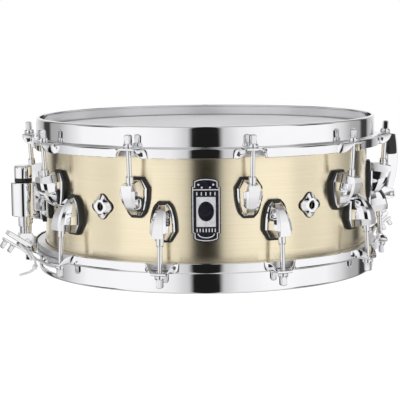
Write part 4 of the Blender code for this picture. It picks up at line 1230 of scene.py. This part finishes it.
def make_lever():
    """The chromed lever with its strip up the outer edge, the rubber grip and the pivot pin."""
    grip_low = 0.1140
    top = 0.1365
    start = PIVOT_HEIGHT + 0.007
    heights = [start + i * (grip_low - start) / 10 for i in range(11)]
    grip_heights = [grip_low + i * (top - grip_low) / 6 for i in range(1, 7)]
    strip = 0.0022
    toe = PIVOT_HEIGHT - 0.0035
    outline = [(lever_outer(z), z) for z in [toe] + heights + grip_heights]
    outline += [(lever_outer(z) - strip, z) for z in reversed(grip_heights)]
    outline += [(lever_outer(grip_low) - strip, grip_low)]
    outline += [(lever_inner(z), z) for z in reversed(heights)]
    outline += [(PIVOT_RADIUS - 0.0045, PIVOT_HEIGHT), (PIVOT_RADIUS - 0.0020, PIVOT_HEIGHT - 0.0045)]
    lever = bevelled(prism("lever_mesh", outline, -0.0048, 0.0048), 0.0010, 4, 25.0)
    show(lever, "throw_off_lever", chrome, "lever", ["strainer_lever"])
    pin = turned("lever_pin_mesh", rounded(
        [(0.0010, -0.0086), (0.0018, -0.0086), (0.0018, 0.0086), (0.0010, 0.0086)], 0.0003, steps=3), 32)
    show(pin, "lever_pin", steel, "lever", (),
         place_matrix(Vector((PIVOT_RADIUS, 0.0, PIVOT_HEIGHT)), (math.pi / 2, 0.0, 0.0)))
    low = grip_low + 0.0003
    levels = [low] + grip_heights
    pad = [(lever_outer(z) - strip - 0.0003, z) for z in levels]
    pad += [(lever_inner(z) + 0.0006, z) for z in reversed(levels)]
    grip = bevelled(prism("grip_mesh", pad, -0.0070, 0.0070), 0.0011, 4, 25.0)
    show(grip, "lever_grip_rubber", grip_rubber, "lever", ["lever_grip"])


# ---------------------------------------------------------------- snare wires and cords

def coil_mesh(name, length, coil_radius, wire_radius, pitch):
    """A long open coil along X, starting at x = 0."""
    sides = 5
    per_turn = 8
    steps = int(length / pitch * per_turn)
    rings = []
    for i in range(steps + 1):
        angle = 2 * math.pi * i / per_turn
        x = length * i / steps
        radial = Vector((0.0, math.cos(angle), math.sin(angle)))
        ring = []
        for k in range(sides):
            a = 2 * math.pi * k / sides
            ring.append(Vector((x, 0.0, 0.0)) + radial * (coil_radius + wire_radius * math.cos(a))
                        + Vector((wire_radius * math.sin(a), 0.0, 0.0)))
        rings.append(ring)
    return loft(name, rings, sharp=80.0)


def make_snare_wires():
    middle_z = 0.01055
    start, end = -0.1515, 0.1515
    coil = coil_mesh("snare_coil", end - start, 0.00058, 0.00021, 0.0020)
    bm = bmesh.new()
    for strand in range(20):
        y = 0.0024 * (strand - 9.5)
        before = len(bm.verts)
        bm.from_mesh(coil)
        bm.verts.ensure_lookup_table()
        bmesh.ops.translate(bm, verts=bm.verts[before:], vec=(start, y, middle_z))
    strands = bpy.data.meshes.new("snare_strands_mesh")
    bm.to_mesh(strands)
    bm.free()
    strands.shade_smooth()
    show(strands, "snare_strands", wire_steel, "wires", ["snare_wires"])
    for name, low, high, post in (("butt", -0.163, -0.150, -1), ("throw_off", 0.150, 0.163, 1)):
        outline = rounded([(low, -0.0240), (high, -0.0240), (high, 0.0240), (low, 0.0240)], 0.0020, True, 5)
        rings = [[(x, y, z) for x, y in outline] for z in (0.0099, 0.0113)]
        plate = bevelled(loft(f"{name}_end_plate_mesh", rings), 0.0003, 2, 50.0)
        show(plate, f"{name}_end_plate", steel, "wires")
        inner = 0.1507 * post
        outer = 0.1570 * post
        span = (min(inner, outer), max(inner, outer))
        hook = bevelled(slab(span, (-0.0046, 0.0046), (0.0056, 0.0100)), 0.0008)
        show(hook, f"{name}_cord_post", steel, "wires")


def smooth_route(points, per_span):
    """Sample a smooth curve through a route's points (Catmull-Rom)."""
    route = [Vector(point) for point in points]
    padded = [route[0] * 2 - route[1]] + route + [route[-1] * 2 - route[-2]]
    samples = []
    for i in range(1, len(padded) - 2):
        a, b, c, d = padded[i - 1:i + 3]
        for step in range(per_span):
            t = step / per_span
            samples.append(0.5 * (2 * b + (c - a) * t + (2 * a - 5 * b + 4 * c - d) * t ** 2
                                  + (3 * b - a - 3 * c + d) * t ** 3))
    return samples + [route[-1]]


# Cord routes as (distance from the drum's axis, distance along the clamp's width, height), in metres
BUTT_CORD = (
    (0.1990, 0.0132, 0.0165), (0.2002, 0.0131, 0.0205), (0.2036, 0.0128, 0.0262), (0.2076, 0.0112, 0.0308),
    (0.2094, 0.0078, 0.0327), (0.2095, 0.0000, 0.0328), (0.2094, -0.0078, 0.0327), (0.2076, -0.0116, 0.0308),
    (0.2036, -0.0136, 0.0262), (0.1980, -0.0137, 0.0200), (0.1920, -0.0124, 0.0147), (0.1850, -0.0106, 0.0116),
    (0.1770, -0.0092, 0.0080), (0.1700, -0.0084, 0.0064), (0.1620, -0.0080, 0.0062), (0.1550, -0.0078, 0.0062),
    (0.1503, -0.0050, 0.0062), (0.1488, 0.0000, 0.0062), (0.1503, 0.0050, 0.0062), (0.1550, 0.0078, 0.0062),
    (0.1620, 0.0078, 0.0062), (0.1700, 0.0064, 0.0064), (0.1770, 0.0038, 0.0080), (0.1850, -0.0004, 0.0116),
    (0.1910, -0.0052, 0.0152), (0.1957, -0.0098, 0.0205), (0.2004, -0.0122, 0.0256), (0.2034, -0.0110, 0.0284),
    (0.2049, -0.0078, 0.0296), (0.2050, 0.0000, 0.0297), (0.2049, 0.0078, 0.0296), (0.2016, 0.0118, 0.0268),
    (0.1975, 0.0134, 0.0215), (0.1952, 0.0140, 0.0150), (0.1962, 0.0145, 0.0085), (0.2010, 0.0150, 0.0048),
    (0.2062, 0.0155, 0.0034), (0.2110, 0.0160, 0.0024),
)
STRAINER_CORD = (
    (0.2004, 0.0131, 0.0235), (0.2013, 0.0130, 0.0255), (0.2036, 0.0114, 0.0310),
    (0.2054, 0.0078, 0.0337), (0.2055, 0.0000, 0.0338), (0.2054, -0.0078, 0.0337), (0.2036, -0.0116, 0.0316),
    (0.1998, -0.0136, 0.0272), (0.1950, -0.0137, 0.0212), (0.1905, -0.0124, 0.0159), (0.1840, -0.0106, 0.0128),
    (0.1765, -0.0092, 0.0098), (0.1690, -0.0084, 0.0081), (0.1620, -0.0080, 0.0078), (0.1550, -0.0078, 0.0078),
    (0.1503, -0.0050, 0.0078), (0.1488, 0.0000, 0.0078), (0.1503, 0.0050, 0.0078), (0.1550, 0.0078, 0.0078),
    (0.1620, 0.0078, 0.0078), (0.1690, 0.0064, 0.0081), (0.1765, 0.0038, 0.0098), (0.1840, -0.0004, 0.0128),
    (0.1888, -0.0052, 0.0166), (0.1926, -0.0098, 0.0216), (0.1968, -0.0122, 0.0266), (0.1994, -0.0110, 0.0294),
    (0.2009, -0.0078, 0.0306), (0.2010, 0.0000, 0.0307), (0.2009, 0.0078, 0.0306), (0.1982, 0.0114, 0.0284),
    (0.1960, 0.0128, 0.0250), (0.1948, 0.0132, 0.0215),
)


def ring_about(centre, axis, radius, tube, sides=10, segments=24):
    """A small torus of cord round a point."""
    turn = axis.to_track_quat('Z', 'Y').to_matrix()
    rings = []
    for i in range(segments):
        a = 2 * math.pi * i / segments
        spoke = Vector((math.cos(a), math.sin(a), 0.0))
        ring = []
        for k in range(sides):
            b = 2 * math.pi * k / sides
            rise = Vector((0.0, 0.0, tube * math.sin(b)))
            ring.append(centre + turn @ (spoke * (radius + tube * math.cos(b)) + rise))
        rings.append(ring)
    return loft("ring", rings, closed=True)


def thread(points, radius, sides=6):
    """A thin tapering thread along a few points."""
    rings = []
    last = len(points) - 1
    for i, point in enumerate(points):
        along = (points[min(last, i + 1)] - points[max(0, i - 1)]).normalized()
        turn = along.to_track_quat('Z', 'Y').to_matrix()
        size = radius * (1.0 - 0.55 * i / last)
        rings.append([point + turn @ Vector((size * math.cos(a), size * math.sin(a), 0.0))
                      for a in [2 * math.pi * k / sides for k in range(sides)]])
    return loft("thread", rings, sharp=80.0)


def knot_mesh(name, centre, axis):
    """An overhand knot: three tight turns of the cord that cross each other."""
    across = axis.cross(Vector((0.3, 0.9, 0.2))).normalized()
    other = axis.cross(across).normalized()
    turns = [ring_about(centre, (axis + across * 0.5).normalized(), 0.0018, 0.0013),
             ring_about(centre + axis * 0.0014, (axis - across * 0.4 + other * 0.4).normalized(),
                        0.0017, 0.0013),
             ring_about(centre - axis * 0.0012, (axis * 0.5 + other).normalized(), 0.0015, 0.0012)]
    return joined(name, turns)


def fray_mesh(name, end, axis, rng):
    """Loose threads that spread from the cord's cut end."""
    threads = []
    for i in range(16):
        a = 2 * math.pi * i / 16 + rng.uniform(-0.2, 0.2)
        side = axis.cross(Vector((0.1, 0.2, 1.0))).normalized()
        spoke = side * math.cos(a) + axis.cross(side) * math.sin(a)
        start = end - axis * 0.0012 + spoke * 0.0008 * rng.uniform(0.3, 1.0)
        length = rng.uniform(0.0022, 0.0034)
        middle = start + axis * length * 0.5 + spoke * 0.0003
        tip = start + axis * length + spoke * rng.uniform(0.0003, 0.0011)
        tip.z = max(tip.z, 0.0004)
        middle.z = max(middle.z, 0.0005)
        threads.append(thread([start, middle, tip], 0.00028))
    return joined(name, threads)


def make_cord(name, route, sign, body, cad_node, far_end):
    """A braided cord along its route, from a loose end through clamp and gate and back."""
    points = smooth_route([(sign * r, -y, z) for r, y, z in route], 4)
    curve = bpy.data.curves.new(name, 'CURVE')
    curve.dimensions = '3D'
    curve.bevel_depth = CORD_RADIUS
    curve.bevel_resolution = 4
    curve.use_fill_caps = True
    line = curve.splines.new('POLY')
    line.points.add(len(points) - 1)
    for target, point in zip(line.points, points):
        target.co = (*point, 1.0)
    curve.materials.append(nylon)
    piece = bpy.data.objects.new(name, curve)
    bpy.context.scene.collection.objects.link(piece)
    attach(piece, body)
    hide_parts(cad_node)
    if far_end == "knot":
        rng = random.Random(7)
        knot_at = points[-14]
        along = (points[-13] - points[-15]).normalized()
        show(knot_mesh(f"{name}_knot_mesh", knot_at, along), f"{name}_knot", nylon,
                           body)
        tail = (points[-1] - points[-3]).normalized()
        show(fray_mesh(f"{name}_fray_mesh", points[-1], tail, rng), f"{name}_frayed_end", nylon,
                           body)


make_shell()
make_heads()
make_hoops()
make_lugs_and_rods()
make_badge()
make_vents()
make_butt()
make_throw_off()
make_snare_wires()
make_cord("butt_cord", BUTT_CORD, -1, "butt_carrier", "snare_cord_butt", "knot")
make_cord("throw_off_cord", STRAINER_CORD, 1, "strainer_carrier", "snare_cord_throw_off", "bare")
